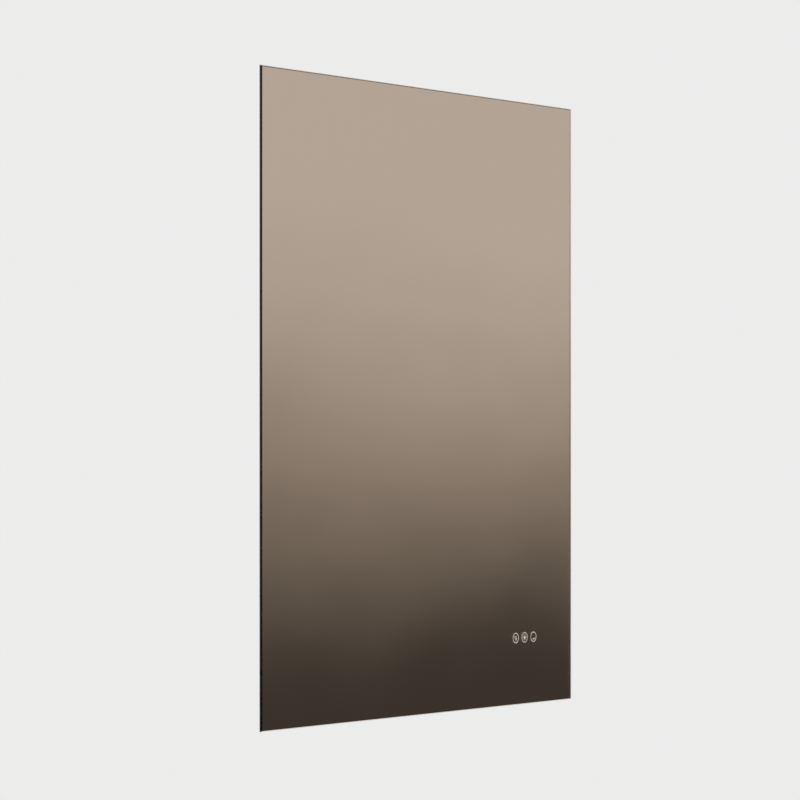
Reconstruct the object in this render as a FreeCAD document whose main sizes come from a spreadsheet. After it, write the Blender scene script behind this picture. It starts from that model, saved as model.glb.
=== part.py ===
import FreeCAD, Part
import math
import os

import Sketcher

# A lighted bathroom mirror that hangs on a wall: a frameless pane on an inset aluminium frame.
#
# The frame faces forward along -Y, +Z is up and +X is to the right of someone who looks at it.
# The wall is the plane y = 0. The origin is on the wall, at the middle of the cleat's screw line.
# Depths are given as distances off the wall, so that a larger one is nearer to the viewer.

# ---------------------------------------------------------------- driving dimensions, in mm

DIMENSIONS = {
    # pane
    "glass_width": 762,
    "glass_height": 914,
    "glass_thick": 4,
    "glass_arris": 1.2,
    "glass_back_arris": 0.4,
    "coating_thick": 0.2,
    "film_thick": 0.3,
    "film_margin": 3,
    "tape_thick": 1.1,
    "tape_width": 14,
    # frame extrusion and its light channel
    "frame_inset": 55,
    "frame_width": 20,
    "frame_depth": 23.2,
    "frame_wall": 2,
    "channel_depth": 9,
    "lip_thick": 1,
    "lip_reach": 0.8,
    "diffuser_depth": 5.5,
    "diffuser_wall": 1.2,
    "slide_gap": 0.15,
    # light strips
    "strip_width": 10,
    "strip_thick": 0.5,
    "strip_end_gap": 14,
    "chip_length": 3.5,
    "chip_width": 2.8,
    "chip_height": 0.8,
    "chip_pitch": 30,
    # corner keys
    "key_leg": 42,
    "key_gap": 0.2,
    "corner_screw_inset": 34,
    # wall cleat and hanger rail
    "cleat_thick": 2.5,
    "cleat_play": 0.6,
    "cleat_drop": 16,
    "cleat_rise": 10,
    "cleat_lip": 14,
    "cleat_end_gap": 20,
    "slot_spacing": 406.4,
    "inner_slot_spacing": 203.2,
    "slot_length": 12,
    "slot_width": 5.5,
    "hook_play": 0.2,
    "hanger_lip": 10.5,
    "hanger_plate": 21.3,
    "hanger_end_gap": 46,
    "hanger_screw_inset": 28,
    # fasteners
    "screw_shank": 4,
    "screw_head": 7,
    "screw_head_height": 2.2,
    "screw_length": 8,
    "small_shank": 3,
    "small_head": 5.4,
    "small_head_height": 1.8,
    "small_length": 6,
    "rivet_length": 4,
    "hole_gap": 0.1,
    # wall bumpers
    "bumper_diameter": 18,
    "bumper_recess": 8.4,
    "bumper_bevel": 1,
    "bumper_seat": 2.6,
    "bumper_inset": 60,
    # gear rail and brackets
    "rail_height": 40,
    "rail_thick": 1.5,
    "rail_clearance": 2,
    "rail_end_gap": 0.3,
    "bracket_height": 30,
    "bracket_leg": 22,
    "bracket_reach": 15,
    # power box
    "box_length": 240,
    "box_height": 84,
    "box_depth": 18.8,
    "box_sheet": 1.2,
    "box_corner": 3,
    "box_drop": 66,
    "post_diameter": 7,
    "post_inset": 5.5,
    "box_rivet_spacing": 150,
    # driver, board and terminal block in the power box
    "driver_board_gap": 22,
    "driver_height": 30,
    "driver_depth": 15,
    "driver_corner": 3,
    "driver_inset": 8,
    "board_length": 80,
    "board_height": 62,
    "board_thick": 1.6,
    "board_stand": 4,
    "board_inset": 9,
    "board_hole_inset": 5,
    "standoff_diameter": 5,
    "standoff_tip": 1,
    "relay_length": 19,
    "relay_height": 15,
    "relay_depth": 10.5,
    "choke_length": 22,
    "choke_depth": 9,
    "capacitor_diameter": 10,
    "capacitor_depth": 10,
    "terminal_length": 36,
    "terminal_height": 20,
    "terminal_depth": 14,
    "terminal_pitch": 11,
    "terminal_rise": 15,
    "terminal_well": 6,
    "terminal_screw_sink": 1,
    # cable gland
    "gland_shift": 74,
    "gland_hex": 15,
    "gland_flange": 3,
    "gland_thread": 12,
    "gland_thread_length": 7,
    "gland_bore": 8.4,
    "gland_seal_outer": 9,
    "gland_seal_bore": 6.5,
    "gland_seal_length": 6,
    "gland_nut_diameter": 15,
    "gland_nut_wall": 2.4,
    "lock_nut_thick": 3,
    "lock_nut_spare": 1,
    # grommets and leads
    "lead_diameter": 3.2,
    "lead_bend": 16,
    "lead_entry": 4.2,
    "grommet_sleeve": 6.4,
    "grommet_flange": 9.6,
    "grommet_lip": 1,
    "light_lead_shift": 60,
    "light_lead_step": 24,
    "heat_lead_shift": 40,
    "touch_lead_drop": 20,
    "clip_width": 16,
    "clip_base": 1.2,
    "clip_length": 9,
    "clip_wall": 1.7,
    "clip_lift": 2.7,
    "clip_first": 260,
    "clip_pitch": 100,
    # heating pad
    "heater_width": 420,
    "heater_height": 300,
    "heater_thick": 0.5,
    "heater_corner": 12,
    "heater_drop": 205,
    "heater_terminal_length": 22,
    "heater_terminal_height": 14,
    "heater_terminal_depth": 5,
    # touch icons and touch unit
    "touch_pitch": 23.5,
    "touch_from_side": 101.5,
    "touch_from_bottom": 101,
    "icon_ring": 14.6,
    "icon_stroke": 1,
    "mark_stroke": 0.85,
    "wave_radius": 2.15,
    "wave_spacing": 1.9,
    "sun_disc": 4.2,
    "sun_ray_start": 3,
    "sun_ray_end": 5,
    "moon_disc": 10.4,
    "moon_rise": 0.9,
    "moon_bite": 14,
    "moon_bite_rise": 3.9,
    "moon_bite_shift": 0.7,
    "window_length": 66,
    "window_height": 22,
    "window_corner": 2,
    "window_gap": 0.3,
    "opal_thick": 1.5,
    "touch_length": 84,
    "touch_height": 30,
    "touch_depth": 12,
    "touch_wall": 1.8,
    "touch_corner": 3,
    "touch_cover_thick": 1.5,
    "touch_boss": 7,
    "touch_boss_inset": 5,
    "touch_board_length": 66,
    "touch_board_stand": 2.5,
    "touch_board_gap": 3,
    "sense_pad_diameter": 12,
    "touch_lead_offset": 29.5,
    "touch_lead_depth": 6,
}

QUARTER_TURN = 90
FULL_TURN = 360
RAYS = 8
WAVE_TURN = math.radians(50)  # half of the angle that each arc of a wave turns through
ROOT_OF_THREE = math.sqrt(3)
FLAT_SHARE = 1 / 3  # of a fastener's head: how far its flat top, its recess and its rim reach
RECESS_SHARE = 1 / 14  # of a screw's head: half the width of its cross recess
TIP_SHARE = 1 / 8  # of a screw's shank: the bevel at its tip
BEND_SHARE = 0.45  # the most of a lead's run that the arc at one of its ends may use

TOWARDS_WALL = FreeCAD.Rotation(FreeCAD.Vector(1, 0, 0), -QUARTER_TURN)
TOWARDS_VIEWER = FreeCAD.Rotation(FreeCAD.Vector(1, 0, 0), QUARTER_TURN)
TOWARDS_RIGHT = FreeCAD.Rotation(FreeCAD.Vector(0, 1, 0), QUARTER_TURN)
TOWARDS_LEFT = FreeCAD.Rotation(FreeCAD.Vector(0, 1, 0), -QUARTER_TURN)
UPWARDS = FreeCAD.Rotation()

START, END, CENTRE = 1, 2, 3

DOC = FreeCAD.newDocument("LightedMirror")
SHEET = DOC.addObject("Spreadsheet::Sheet", "Dimensions")
PIECES = []


class Size:
    """A length from the sheet: the formula that a property is bound to, and its value."""

    def __init__(self, formula, value):
        self.formula = formula
        self.value = value

    def __add__(self, other):
        other = as_size(other)
        return Size(f"({self.formula} + {other.formula})", self.value + other.value)

    def __sub__(self, other):
        other = as_size(other)
        return Size(f"({self.formula} - {other.formula})", self.value - other.value)

    def __mul__(self, factor):
        return Size(f"({self.formula} * {factor})", self.value * factor)

    def __truediv__(self, divisor):
        return Size(f"({self.formula} / {divisor})", self.value / divisor)

    def __neg__(self):
        return self * -1


def as_size(number):
    """A plain number as a Size."""
    return number if isinstance(number, Size) else Size(str(float(number)), float(number))


def fill_sheet():
    """Write each driving dimension to a cell with its name as the alias."""
    sizes = {}
    for row, (alias, number) in enumerate(DIMENSIONS.items(), start=1):
        SHEET.set(f"A{row}", alias.replace("_", " "))
        SHEET.set(f"B{row}", str(number))
        SHEET.setAlias(f"B{row}", alias)
        sizes[alias] = Size(f"Dimensions.{alias}", float(number))
    DOC.recompute()
    return sizes


class Named:
    """The sheet's dimensions as attributes."""

    def __init__(self, sizes):
        self.__dict__.update(sizes)


D = Named(fill_sheet())
ZERO = as_size(0)

# ---------------------------------------------------------------- places that follow from them

# distances off the wall
CHANNEL_BACK = D.cleat_thick + D.cleat_play * 2
FRAME_BACK = CHANNEL_BACK + D.cleat_thick
FRAME_MIDDLE = FRAME_BACK + D.frame_depth / 2
FRAME_FRONT = FRAME_BACK + D.frame_depth
FILM_BACK = FRAME_FRONT + D.tape_thick
COATING_BACK = FILM_BACK + D.film_thick
GLASS_BACK = COATING_BACK + D.coating_thick
GLASS_FRONT = GLASS_BACK + D.glass_thick
RAIL_FRONT = FILM_BACK - D.rail_clearance
BOX_FRONT = RAIL_FRONT - D.rail_thick
BOX_FLOOR = BOX_FRONT - D.box_sheet
BOX_BACK = BOX_FRONT - D.box_depth
LEAD_DEPTH = FILM_BACK - D.clip_lift
TOUCH_BACK = FILM_BACK - D.touch_depth
TOUCH_BOARD_BACK = TOUCH_BACK + D.touch_board_stand
TOUCH_BOARD_FRONT = TOUCH_BOARD_BACK + D.board_thick
OPAL_BACK = COATING_BACK - D.opal_thick
TOUCH_LEAD_DEPTH = FILM_BACK - D.touch_lead_depth

# heights and half widths
HOOK_TOP = D.cleat_rise + D.cleat_lip
HANGER_STEP = HOOK_TOP + D.hook_play
FRAME_TOP = HANGER_STEP + D.cleat_thick + D.hanger_plate
GLASS_TOP = FRAME_TOP + D.frame_inset
GLASS_BOTTOM = GLASS_TOP - D.glass_height
FRAME_BOTTOM = GLASS_BOTTOM + D.frame_inset
GLASS_SIDE = D.glass_width / 2
FRAME_SIDE = GLASS_SIDE - D.frame_inset
FRAME_INNER_SIDE = FRAME_SIDE - D.frame_width
HANGER_SIDE = FRAME_SIDE - D.hanger_end_gap
CLEAT_SIDE = HANGER_SIDE - D.cleat_end_gap
BOX_TOP = -D.box_drop
BOX_BOTTOM = BOX_TOP - D.box_height
BOX_MIDDLE = BOX_TOP - D.box_height / 2
BOX_SIDE = D.box_length / 2
BOARD_RIGHT = BOX_SIDE - D.box_sheet - D.board_inset
BOARD_LEFT = BOARD_RIGHT - D.board_length
TOUCH_X = GLASS_SIDE - D.touch_from_side - D.touch_pitch
TOUCH_Z = GLASS_BOTTOM + D.touch_from_bottom
TOUCH_TOP = TOUCH_Z + D.touch_height / 2
TOUCH_LEAD_X = TOUCH_X + D.touch_lead_offset
HEATER_TOP = -D.heater_drop
HEATER_BOTTOM = HEATER_TOP - D.heater_height

# distances from the frame's outer face to its inside
CHAMBER_OUTER = D.channel_depth + D.frame_wall
CHAMBER_INNER = D.frame_width - D.frame_wall
SCREW_LINE = (CHAMBER_OUTER + CHAMBER_INNER) / 2
CHAMBER_BACK = FRAME_BACK + D.frame_wall
CHAMBER_FRONT = FRAME_FRONT - D.frame_wall

# hole diameters
SCREW_HOLE = D.screw_shank + D.hole_gap * 2
SMALL_HOLE = D.small_shank + D.hole_gap * 2
LEAD_HOLE = D.lead_diameter + D.hole_gap * 2
GROMMET_HOLE = D.grommet_sleeve + D.hole_gap * 2

# the four sides of the frame: its outer edge, the way to the inside, and whether it lies level
SIDES = {
    "top": (FRAME_TOP, -1, True),
    "bottom": (FRAME_BOTTOM, 1, True),
    "left": (-FRAME_SIDE, 1, False),
    "right": (FRAME_SIDE, -1, False),
}
CORNERS = [(across, side) for across in (-1, 1) for side in ("top", "bottom")]


# ---------------------------------------------------------------- outlines in a sketch


def pin(sketch, geometry, point, across=None, up=None):
    """Fix a point of the sketch at distances from its origin that follow the sheet."""
    for kind, size in (("DistanceX", across), ("DistanceY", up)):
        if size is not None:
            size = as_size(size)
            index = sketch.addConstraint(Sketcher.Constraint(kind, geometry, point, size.value))
            name = f"{kind}_{index}"
            sketch.renameConstraint(index, name)
            sketch.setExpression(f"Constraints.{name}", size.formula)


def flat(corner):
    """A corner's point in the plane of its sketch."""
    return FreeCAD.Vector(as_size(corner[0]).value, as_size(corner[1]).value, 0)


def heading(vector):
    """The direction of a vector in the plane of its sketch, in radians."""
    return math.atan2(vector.y, vector.x)


class Loop:
    """A closed outline. A corner is (across, up), with (centre across, centre up, turn) where an
    arc leads to the next corner; turn is 1 for an arc that runs anticlockwise, and -1 otherwise."""

    def __init__(self, *corners):
        self.corners = corners

    def draw(self, sketch):
        first = sketch.GeometryCount
        ends = []
        for here, there in zip(self.corners, self.corners[1:] + self.corners[:1]):
            ends.append(self.draw_run(sketch, here, there))
        for index, corner in enumerate(self.corners):
            begin, _ = ends[index]
            before = (index - 1) % len(ends)
            _, finish = ends[before]
            joint = Sketcher.Constraint("Coincident", first + before, finish, first + index, begin)
            sketch.addConstraint(joint)
            pin(sketch, first + index, begin, corner[0], corner[1])
        for index, corner in enumerate(self.corners):
            if len(corner) > 2:
                chord = flat(self.corners[(index + 1) % len(ends)]) - flat(corner)
                if abs(chord.x) > abs(chord.y):
                    pin(sketch, first + index, CENTRE, up=corner[3])
                else:
                    pin(sketch, first + index, CENTRE, across=corner[2])

    def draw_run(self, sketch, here, there):
        """Add the line or arc from one corner to the next, and say which of its ends is which."""
        begin, finish = flat(here), flat(there)
        if len(here) == 2:
            sketch.addGeometry(Part.LineSegment(begin, finish))
            return START, END
        centre, turn = flat(here[2:4]), here[4]
        low, high = (begin, finish) if turn > 0 else (finish, begin)
        from_angle, to_angle = heading(low - centre), heading(high - centre)
        if to_angle <= from_angle:
            to_angle += 2 * math.pi
        circle = Part.Circle(centre, FreeCAD.Vector(0, 0, 1), (begin - centre).Length)
        sketch.addGeometry(Part.ArcOfCircle(circle, from_angle, to_angle))
        return (START, END) if turn > 0 else (END, START)


class Round:
    """A circle."""

    def __init__(self, across, up, diameter):
        self.across, self.up, self.diameter = across, up, diameter

    def draw(self, sketch):
        centre = flat((self.across, self.up))
        circle = Part.Circle(centre, FreeCAD.Vector(0, 0, 1), self.diameter.value / 2)
        geometry = sketch.addGeometry(circle)
        pin(sketch, geometry, CENTRE, self.across, self.up)
        bore = Sketcher.Constraint("Diameter", geometry, self.diameter.value)
        index = sketch.addConstraint(bore)
        sketch.renameConstraint(index, f"Diameter_{index}")
        sketch.setExpression(f"Constraints.Diameter_{index}", self.diameter.formula)


def rectangle(left, low, right, high):
    """A rectangle between two corners."""
    return Loop((left, low), (right, low), (right, high), (left, high))


def rounded(left, low, right, high, radius):
    """A rectangle with round corners."""
    inner_left, inner_right = left + radius, right - radius
    inner_low, inner_high = low + radius, high - radius
    return Loop(
        (inner_left, low),
        (inner_right, low, inner_right, inner_low, 1),
        (right, inner_low),
        (right, inner_high, inner_right, inner_high, 1),
        (inner_right, high),
        (inner_left, high, inner_left, inner_high, 1),
        (left, inner_high),
        (left, inner_low, inner_left, inner_low, 1),
    )


def slot(across, up, length, width):
    """A level slot with round ends."""
    reach = (length - width) / 2
    low, high = up - width / 2, up + width / 2
    left, right = across - reach, across + reach
    return Loop((left, low), (right, low, right, up, 1), (right, high), (left, high, left, up, 1))


# ---------------------------------------------------------------- solids


def keep(item, label):
    """Name a finished sub-part and list it for writing."""
    item.Label = label
    PIECES.append(item)
    return item


def new_body(name):
    """An empty body that may hold several separate solids."""
    body = DOC.addObject("PartDesign::Body", name)
    body.AllowCompound = True
    return body


def new_sketch(body, plane, outlines, start):
    """A sketch on one of the body's own planes, moved by start along the plane's normal."""
    sketch = body.newObject("Sketcher::SketchObject", f"{body.Name}_outline")
    support = next(item for item in body.Origin.OriginFeatures if item.Role == f"{plane}_Plane")
    sketch.AttachmentSupport = [(support, "")]
    sketch.MapMode = "FlatFace"
    sketch.setExpression("AttachmentOffset.Base.z", as_size(start).formula)
    for outline in outlines:
        outline.draw(sketch)
    return sketch


def pad(body, plane, outlines, start, end):
    """Add material between two distances along the plane's normal."""
    feature = body.newObject("PartDesign::Pad", f"{body.Name}_pad")
    feature.Profile = new_sketch(body, plane, outlines, start)
    feature.setExpression("Length", (as_size(end) - start).formula)
    body.Tip = feature
    return feature


def pocket(body, plane, outlines, start=None, end=None):
    """Cut between two distances along the plane's normal, or right through both ways."""
    DOC.recompute()
    before = body.Shape.Volume
    feature = body.newObject("PartDesign::Pocket", f"{body.Name}_pocket")
    feature.Profile = new_sketch(body, plane, outlines, start or ZERO)
    if start is None:
        feature.Type = "ThroughAll"
        feature.SideType = "Symmetric"
    else:
        feature.Reversed = True
        feature.setExpression("Length", (end - start).formula)
    body.Tip = feature
    DOC.recompute()
    if body.Shape.Volume >= before:
        raise RuntimeError(f"a pocket of {body.Name} cuts nothing")
    return feature


def extrusion(name, plane, outlines, start, end):
    """A body padded once."""
    body = new_body(name)
    pad(body, plane, outlines, start, end)
    return body


def plate(name, outlines, back, front):
    """A body padded towards the viewer, between two distances off the wall."""
    return extrusion(name, "XZ", outlines, back, front)


def turned(name, *corners):
    """A body turned about its own Z axis from a half section of (radius, height) corners."""
    body = new_body(name)
    feature = body.newObject("PartDesign::Revolution", f"{name}_turn")
    sketch = new_sketch(body, "XZ", [Loop(*corners)], ZERO)
    feature.Profile = sketch
    feature.ReferenceAxis = (sketch, ["V_Axis"])
    feature.Angle = FULL_TURN
    body.Tip = feature
    return body


def place(item, spot, rotation=UPWARDS):
    """Put an item at (across, distance off the wall, up)."""
    across, off, up = (as_size(size) for size in spot)
    item.Placement = FreeCAD.Placement(FreeCAD.Vector(0, 0, 0), rotation)
    item.setExpression("Placement.Base.x", across.formula)
    item.setExpression("Placement.Base.y", (-off).formula)
    item.setExpression("Placement.Base.z", up.formula)


def block(name, low, high):
    """A box between two corners, each as (across, distance off the wall, up)."""
    item = DOC.addObject("Part::Box", name)
    item.setExpression("Length", (as_size(high[0]) - low[0]).formula)
    item.setExpression("Width", (as_size(high[1]) - low[1]).formula)
    item.setExpression("Height", (as_size(high[2]) - low[2]).formula)
    place(item, (low[0], high[1], low[2]))
    return item


def rod(name, spot, rotation, diameter, length):
    """A cylinder from a spot along the way that its rotation points."""
    item = DOC.addObject("Part::Cylinder", name)
    item.setExpression("Radius", (diameter / 2).formula)
    item.setExpression("Height", length.formula)
    place(item, spot, rotation)
    return item


def hexagon(name, spot, rotation, across_flats, length):
    """A hexagonal prism, two of whose corners lie along the first axis."""
    item = DOC.addObject("Part::Prism", name)
    item.setExpression("Circumradius", (across_flats / ROOT_OF_THREE).formula)
    item.setExpression("Height", length.formula)
    place(item, spot, rotation)
    return item


def without(name, base, *tools):
    """The base with the tools cut out of it."""
    for index, tool in enumerate(tools):
        cut = DOC.addObject("Part::Cut", f"{name}_cut_{index}")
        cut.Base, cut.Tool = base, tool
        base = cut
    return base


def joined(name, *items):
    """One solid made of overlapping items."""
    fusion = DOC.addObject("Part::MultiFuse", name)
    fusion.Shapes = list(items)
    return fusion


def group(name, items):
    """Separate solids kept together as one sub-part."""
    compound = DOC.addObject("Part::Compound", name)
    compound.Links = list(items)
    return compound


def copies(name, master, spots, rotation):
    """The same piece at several spots."""
    links = []
    for index, spot in enumerate(spots):
        link = DOC.addObject("App::Link", f"{name}_{index}")
        link.LinkedObject = master
        place(link, spot, rotation)
        links.append(link)
    return group(name, links)


# ---------------------------------------------------------------- fasteners


def screw(name, shank, length, head, head_height):
    """A pan head screw with a cross recess, its seat at height zero and its head above."""
    radius, tip = shank / 2, shank * TIP_SHARE
    body = turned(
        name,
        (ZERO, head_height),
        (head * FLAT_SHARE, head_height),
        (head / 2, head_height / 2),
        (head / 2, ZERO),
        (radius, ZERO),
        (radius, tip - length),
        (radius - tip, -length),
        (ZERO, -length),
    )
    long, thin = head * FLAT_SHARE, head * RECESS_SHARE
    cross = Loop(
        (thin, thin), (thin, long), (-thin, long), (-thin, thin), (-long, thin), (-long, -thin),
        (-thin, -thin), (-thin, -long), (thin, -long), (thin, -thin), (long, -thin), (long, thin),
    )
    pocket(body, "XY", [cross], head_height * FLAT_SHARE, head_height)
    return body


FRAME_SCREW = screw(
    "frame_screw", D.screw_shank, D.screw_length, D.screw_head, D.screw_head_height
)
SMALL_SCREW = screw(
    "small_screw", D.small_shank, D.small_length, D.small_head, D.small_head_height
)
RIVET = turned(
    "rivet",
    (ZERO, D.small_head_height),
    (D.small_head * FLAT_SHARE, D.small_head_height),
    (D.small_head / 2, D.small_head_height * FLAT_SHARE),
    (D.small_head / 2, ZERO),
    (D.small_shank / 2, ZERO),
    (D.small_shank / 2, -D.rivet_length),
    (ZERO, -D.rivet_length),
)


# ---------------------------------------------------------------- pane


def towards(feature, direction):
    """The name of the feature's face that lies furthest along a direction."""
    DOC.recompute()
    faces = enumerate(feature.Shape.Faces, start=1)
    index, _ = max(faces, key=lambda item: item[1].CenterOfMass.dot(direction))
    return f"Face{index}"


def make_glass():
    """The pane, with a ground arris all round its front and a smaller one at the back."""
    outline = rectangle(-GLASS_SIDE, GLASS_BOTTOM, GLASS_SIDE, GLASS_TOP)
    body = new_body("glass_pane")
    base = pad(body, "XZ", [outline], GLASS_BACK, GLASS_FRONT)
    for direction, arris in ((-1, D.glass_arris), (1, D.glass_back_arris)):
        face = towards(base, FreeCAD.Vector(0, direction, 0))
        bevel = body.newObject("PartDesign::Chamfer", "glass_pane_arris")
        bevel.Base = (base, [face])
        bevel.setExpression("Size", arris.formula)
        body.Tip = bevel
        base = bevel
    keep(body, "glass_pane")


def ring_outlines(across):
    """The ring round an icon, as its two circles."""
    return [
        Round(across, TOUCH_Z, D.icon_ring + D.icon_stroke),
        Round(across, TOUCH_Z, D.icon_ring - D.icon_stroke),
    ]


def wave(across):
    """One rising wave of the heating icon: two shallow arcs of a pen's width that make an S."""
    half = D.mark_stroke / 2
    aside, rise = half * math.cos(WAVE_TURN), half * math.sin(WAVE_TURN)
    inset, quarter = D.wave_radius * math.cos(WAVE_TURN), D.wave_radius * math.sin(WAVE_TURN)
    upper = (across + inset, TOUCH_Z + quarter)
    lower = (across - inset, TOUCH_Z - quarter)
    top, foot = TOUCH_Z + quarter * 2, TOUCH_Z - quarter * 2
    return Loop(
        (across - aside, top + rise, *upper, 1),
        (across - aside, TOUCH_Z - rise, *lower, -1),
        (across - aside, foot + rise),
        (across + aside, foot - rise, *lower, 1),
        (across + aside, TOUCH_Z + rise, *upper, -1),
        (across + aside, top - rise),
    )


def ray(across, turn):
    """One ray of the light icon, as a small rectangle that points away from its middle."""
    along = (math.cos(turn), math.sin(turn))
    half = D.mark_stroke / 2
    near, far = D.sun_ray_start, D.sun_ray_end
    corners = []
    for reach, side in ((near, -1), (far, -1), (far, 1), (near, 1)):
        corners.append(
            (
                across + reach * along[0] - half * (side * along[1]),
                TOUCH_Z + reach * along[1] + half * (side * along[0]),
            )
        )
    return Loop(*corners)


def make_coating():
    """The silver on the back of the pane, with the three icons left clear in it."""
    edge = D.glass_back_arris
    outline = rectangle(
        edge - GLASS_SIDE, GLASS_BOTTOM + edge, GLASS_SIDE - edge, GLASS_TOP - edge
    )
    sheet = plate("silver_sheet", [outline], COATING_BACK, GLASS_BACK)
    levels = (COATING_BACK, GLASS_BACK)
    heat_x, light_x, night_x = TOUCH_X - D.touch_pitch, TOUCH_X, TOUCH_X + D.touch_pitch
    waves = [wave(heat_x + D.wave_spacing * step) for step in (-1, 0, 1)]
    rays = [ray(light_x, math.tau * index / RAYS) for index in range(RAYS)]
    disc = Round(light_x, TOUCH_Z, D.sun_disc)
    heat_icon = plate("heat_icon", ring_outlines(heat_x) + waves, *levels)
    light_icon = plate("light_icon", ring_outlines(light_x) + rays + [disc], *levels)
    night_ring = plate("night_ring", ring_outlines(night_x), *levels)
    moon_round = Round(night_x, TOUCH_Z + D.moon_rise, D.moon_disc)
    moon = plate("moon_disc", [moon_round], *levels)
    bite_round = Round(night_x - D.moon_bite_shift, TOUCH_Z + D.moon_bite_rise, D.moon_bite)
    bite = plate("moon_bite", [bite_round], *levels)
    crescent = without("crescent", moon, bite)
    coating = without("silver_coating", sheet, heat_icon, light_icon, night_ring, crescent)
    keep(coating, "silver_coating")


def window(gap):
    """The outline of the icon window, larger all round by a gap."""
    reach, rise = D.window_length / 2 + gap, D.window_height / 2 + gap
    return rounded(
        TOUCH_X - reach, TOUCH_Z - rise, TOUCH_X + reach, TOUCH_Z + rise, D.window_corner
    )


def make_film():
    """The safety film on the silver, with one window behind the icons."""
    edge = D.film_margin
    outline = rectangle(
        edge - GLASS_SIDE, GLASS_BOTTOM + edge, GLASS_SIDE - edge, GLASS_TOP - edge
    )
    film = plate("safety_film", [outline, window(D.window_gap)], FILM_BACK, COATING_BACK)
    keep(film, "safety_film")
    opal = plate("icon_diffuser", [window(ZERO)], OPAL_BACK, COATING_BACK)
    keep(opal, "icon_diffuser")


def make_heater():
    """The heating pad on the film, and the small terminal that its lead ends in."""
    half = D.heater_width / 2
    outline = rounded(-half, HEATER_BOTTOM, half, HEATER_TOP, D.heater_corner)
    front = FILM_BACK - D.heater_thick
    keep(plate("demister_pad", [outline], front, FILM_BACK), "demister_pad")
    reach = D.heater_terminal_length / 2
    left, right = D.heat_lead_shift - reach, D.heat_lead_shift + reach
    top = HEATER_TOP - D.heater_corner
    bottom = top - D.heater_terminal_height
    case = rounded(left, bottom, right, top, D.window_corner)
    terminal = plate("demister_terminal", [case], front - D.heater_terminal_depth, front)
    keep(terminal, "demister_terminal")


# ---------------------------------------------------------------- frame


def section_corner(side, inwards, off):
    """A point of the frame's section, as the sketch across that side of the frame sees it."""
    edge, inward, level = SIDES[side]
    across = edge + as_size(inwards) * inward
    return (-off, across) if level else (across, -off)


def mitred_bar(name, side, sections):
    """A bar along one side of the frame, with both ends cut at 45 degrees."""
    _, _, level = SIDES[side]
    low, high = (-FRAME_SIDE, FRAME_SIDE) if level else (FRAME_BOTTOM, FRAME_TOP)
    loops = []
    for section in sections:
        loops.append(Loop(*[section_corner(side, inwards, off) for inwards, off in section]))
    bar = extrusion(name, "YZ" if level else "XY", loops, low, high)
    edge, inward, _ = SIDES[side]
    spare = D.frame_wall
    ends = []
    for end, outward in ((low, -1), (high, 1)):
        tip = (end + spare * outward, edge - spare * inward)
        inner = edge + (D.frame_width + spare) * inward
        corner = (end + spare * outward, inner)
        heel = (end - (D.frame_width + spare) * outward, inner)
        points = [tip, corner, heel]
        if not level:
            points = [(up, across) for across, up in points]
        ends.append(Loop(*points))
    pocket(bar, "XZ", ends)
    return bar


def channel_sections():
    """The extrusion's section: its outline with the light channel, and its closed chamber."""
    lip_back = CHAMBER_BACK + D.lip_reach
    lip_front = CHAMBER_FRONT - D.lip_reach
    outline = [
        (ZERO, FRAME_BACK),
        (D.frame_width, FRAME_BACK),
        (D.frame_width, FRAME_FRONT),
        (ZERO, FRAME_FRONT),
        (ZERO, lip_front),
        (D.lip_thick, lip_front),
        (D.lip_thick, CHAMBER_FRONT),
        (D.channel_depth, CHAMBER_FRONT),
        (D.channel_depth, CHAMBER_BACK),
        (D.lip_thick, CHAMBER_BACK),
        (D.lip_thick, lip_back),
        (ZERO, lip_back),
    ]
    chamber = [
        (CHAMBER_OUTER, CHAMBER_BACK),
        (CHAMBER_INNER, CHAMBER_BACK),
        (CHAMBER_INNER, CHAMBER_FRONT),
        (CHAMBER_OUTER, CHAMBER_FRONT),
    ]
    return [outline, chamber]


def hanger_screw_spots():
    """Where the hanger rail's screws stand, as (across, up)."""
    reach = HANGER_SIDE - D.hanger_screw_inset
    return [(reach * share, FRAME_TOP - SCREW_LINE) for share in (-1, -1 / 3, 1 / 3, 1)]


def bumper_spots():
    """Where the wall bumpers stand, as (across, up)."""
    reach = FRAME_SIDE - D.bumper_inset
    return [(reach * across, FRAME_BOTTOM + SCREW_LINE) for across in (-1, 1)]


def corner_screw_spots(across, side, level):
    """The screw in one leg of a corner key, as (across, up)."""
    edge, inward, _ = SIDES[side]
    if level:
        return (FRAME_SIDE - D.corner_screw_inset) * across, edge + SCREW_LINE * inward
    return (FRAME_SIDE - SCREW_LINE) * across, edge + D.corner_screw_inset * inward


def bracket_screw_spots():
    """Where each bracket's two screws stand, as (distance off the wall, up)."""
    off = BOX_FRONT - D.rail_thick - D.bracket_reach / 2
    return [(off, BOX_MIDDLE + D.bracket_height * share) for share in (-1 / 4, 1 / 4)]


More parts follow.
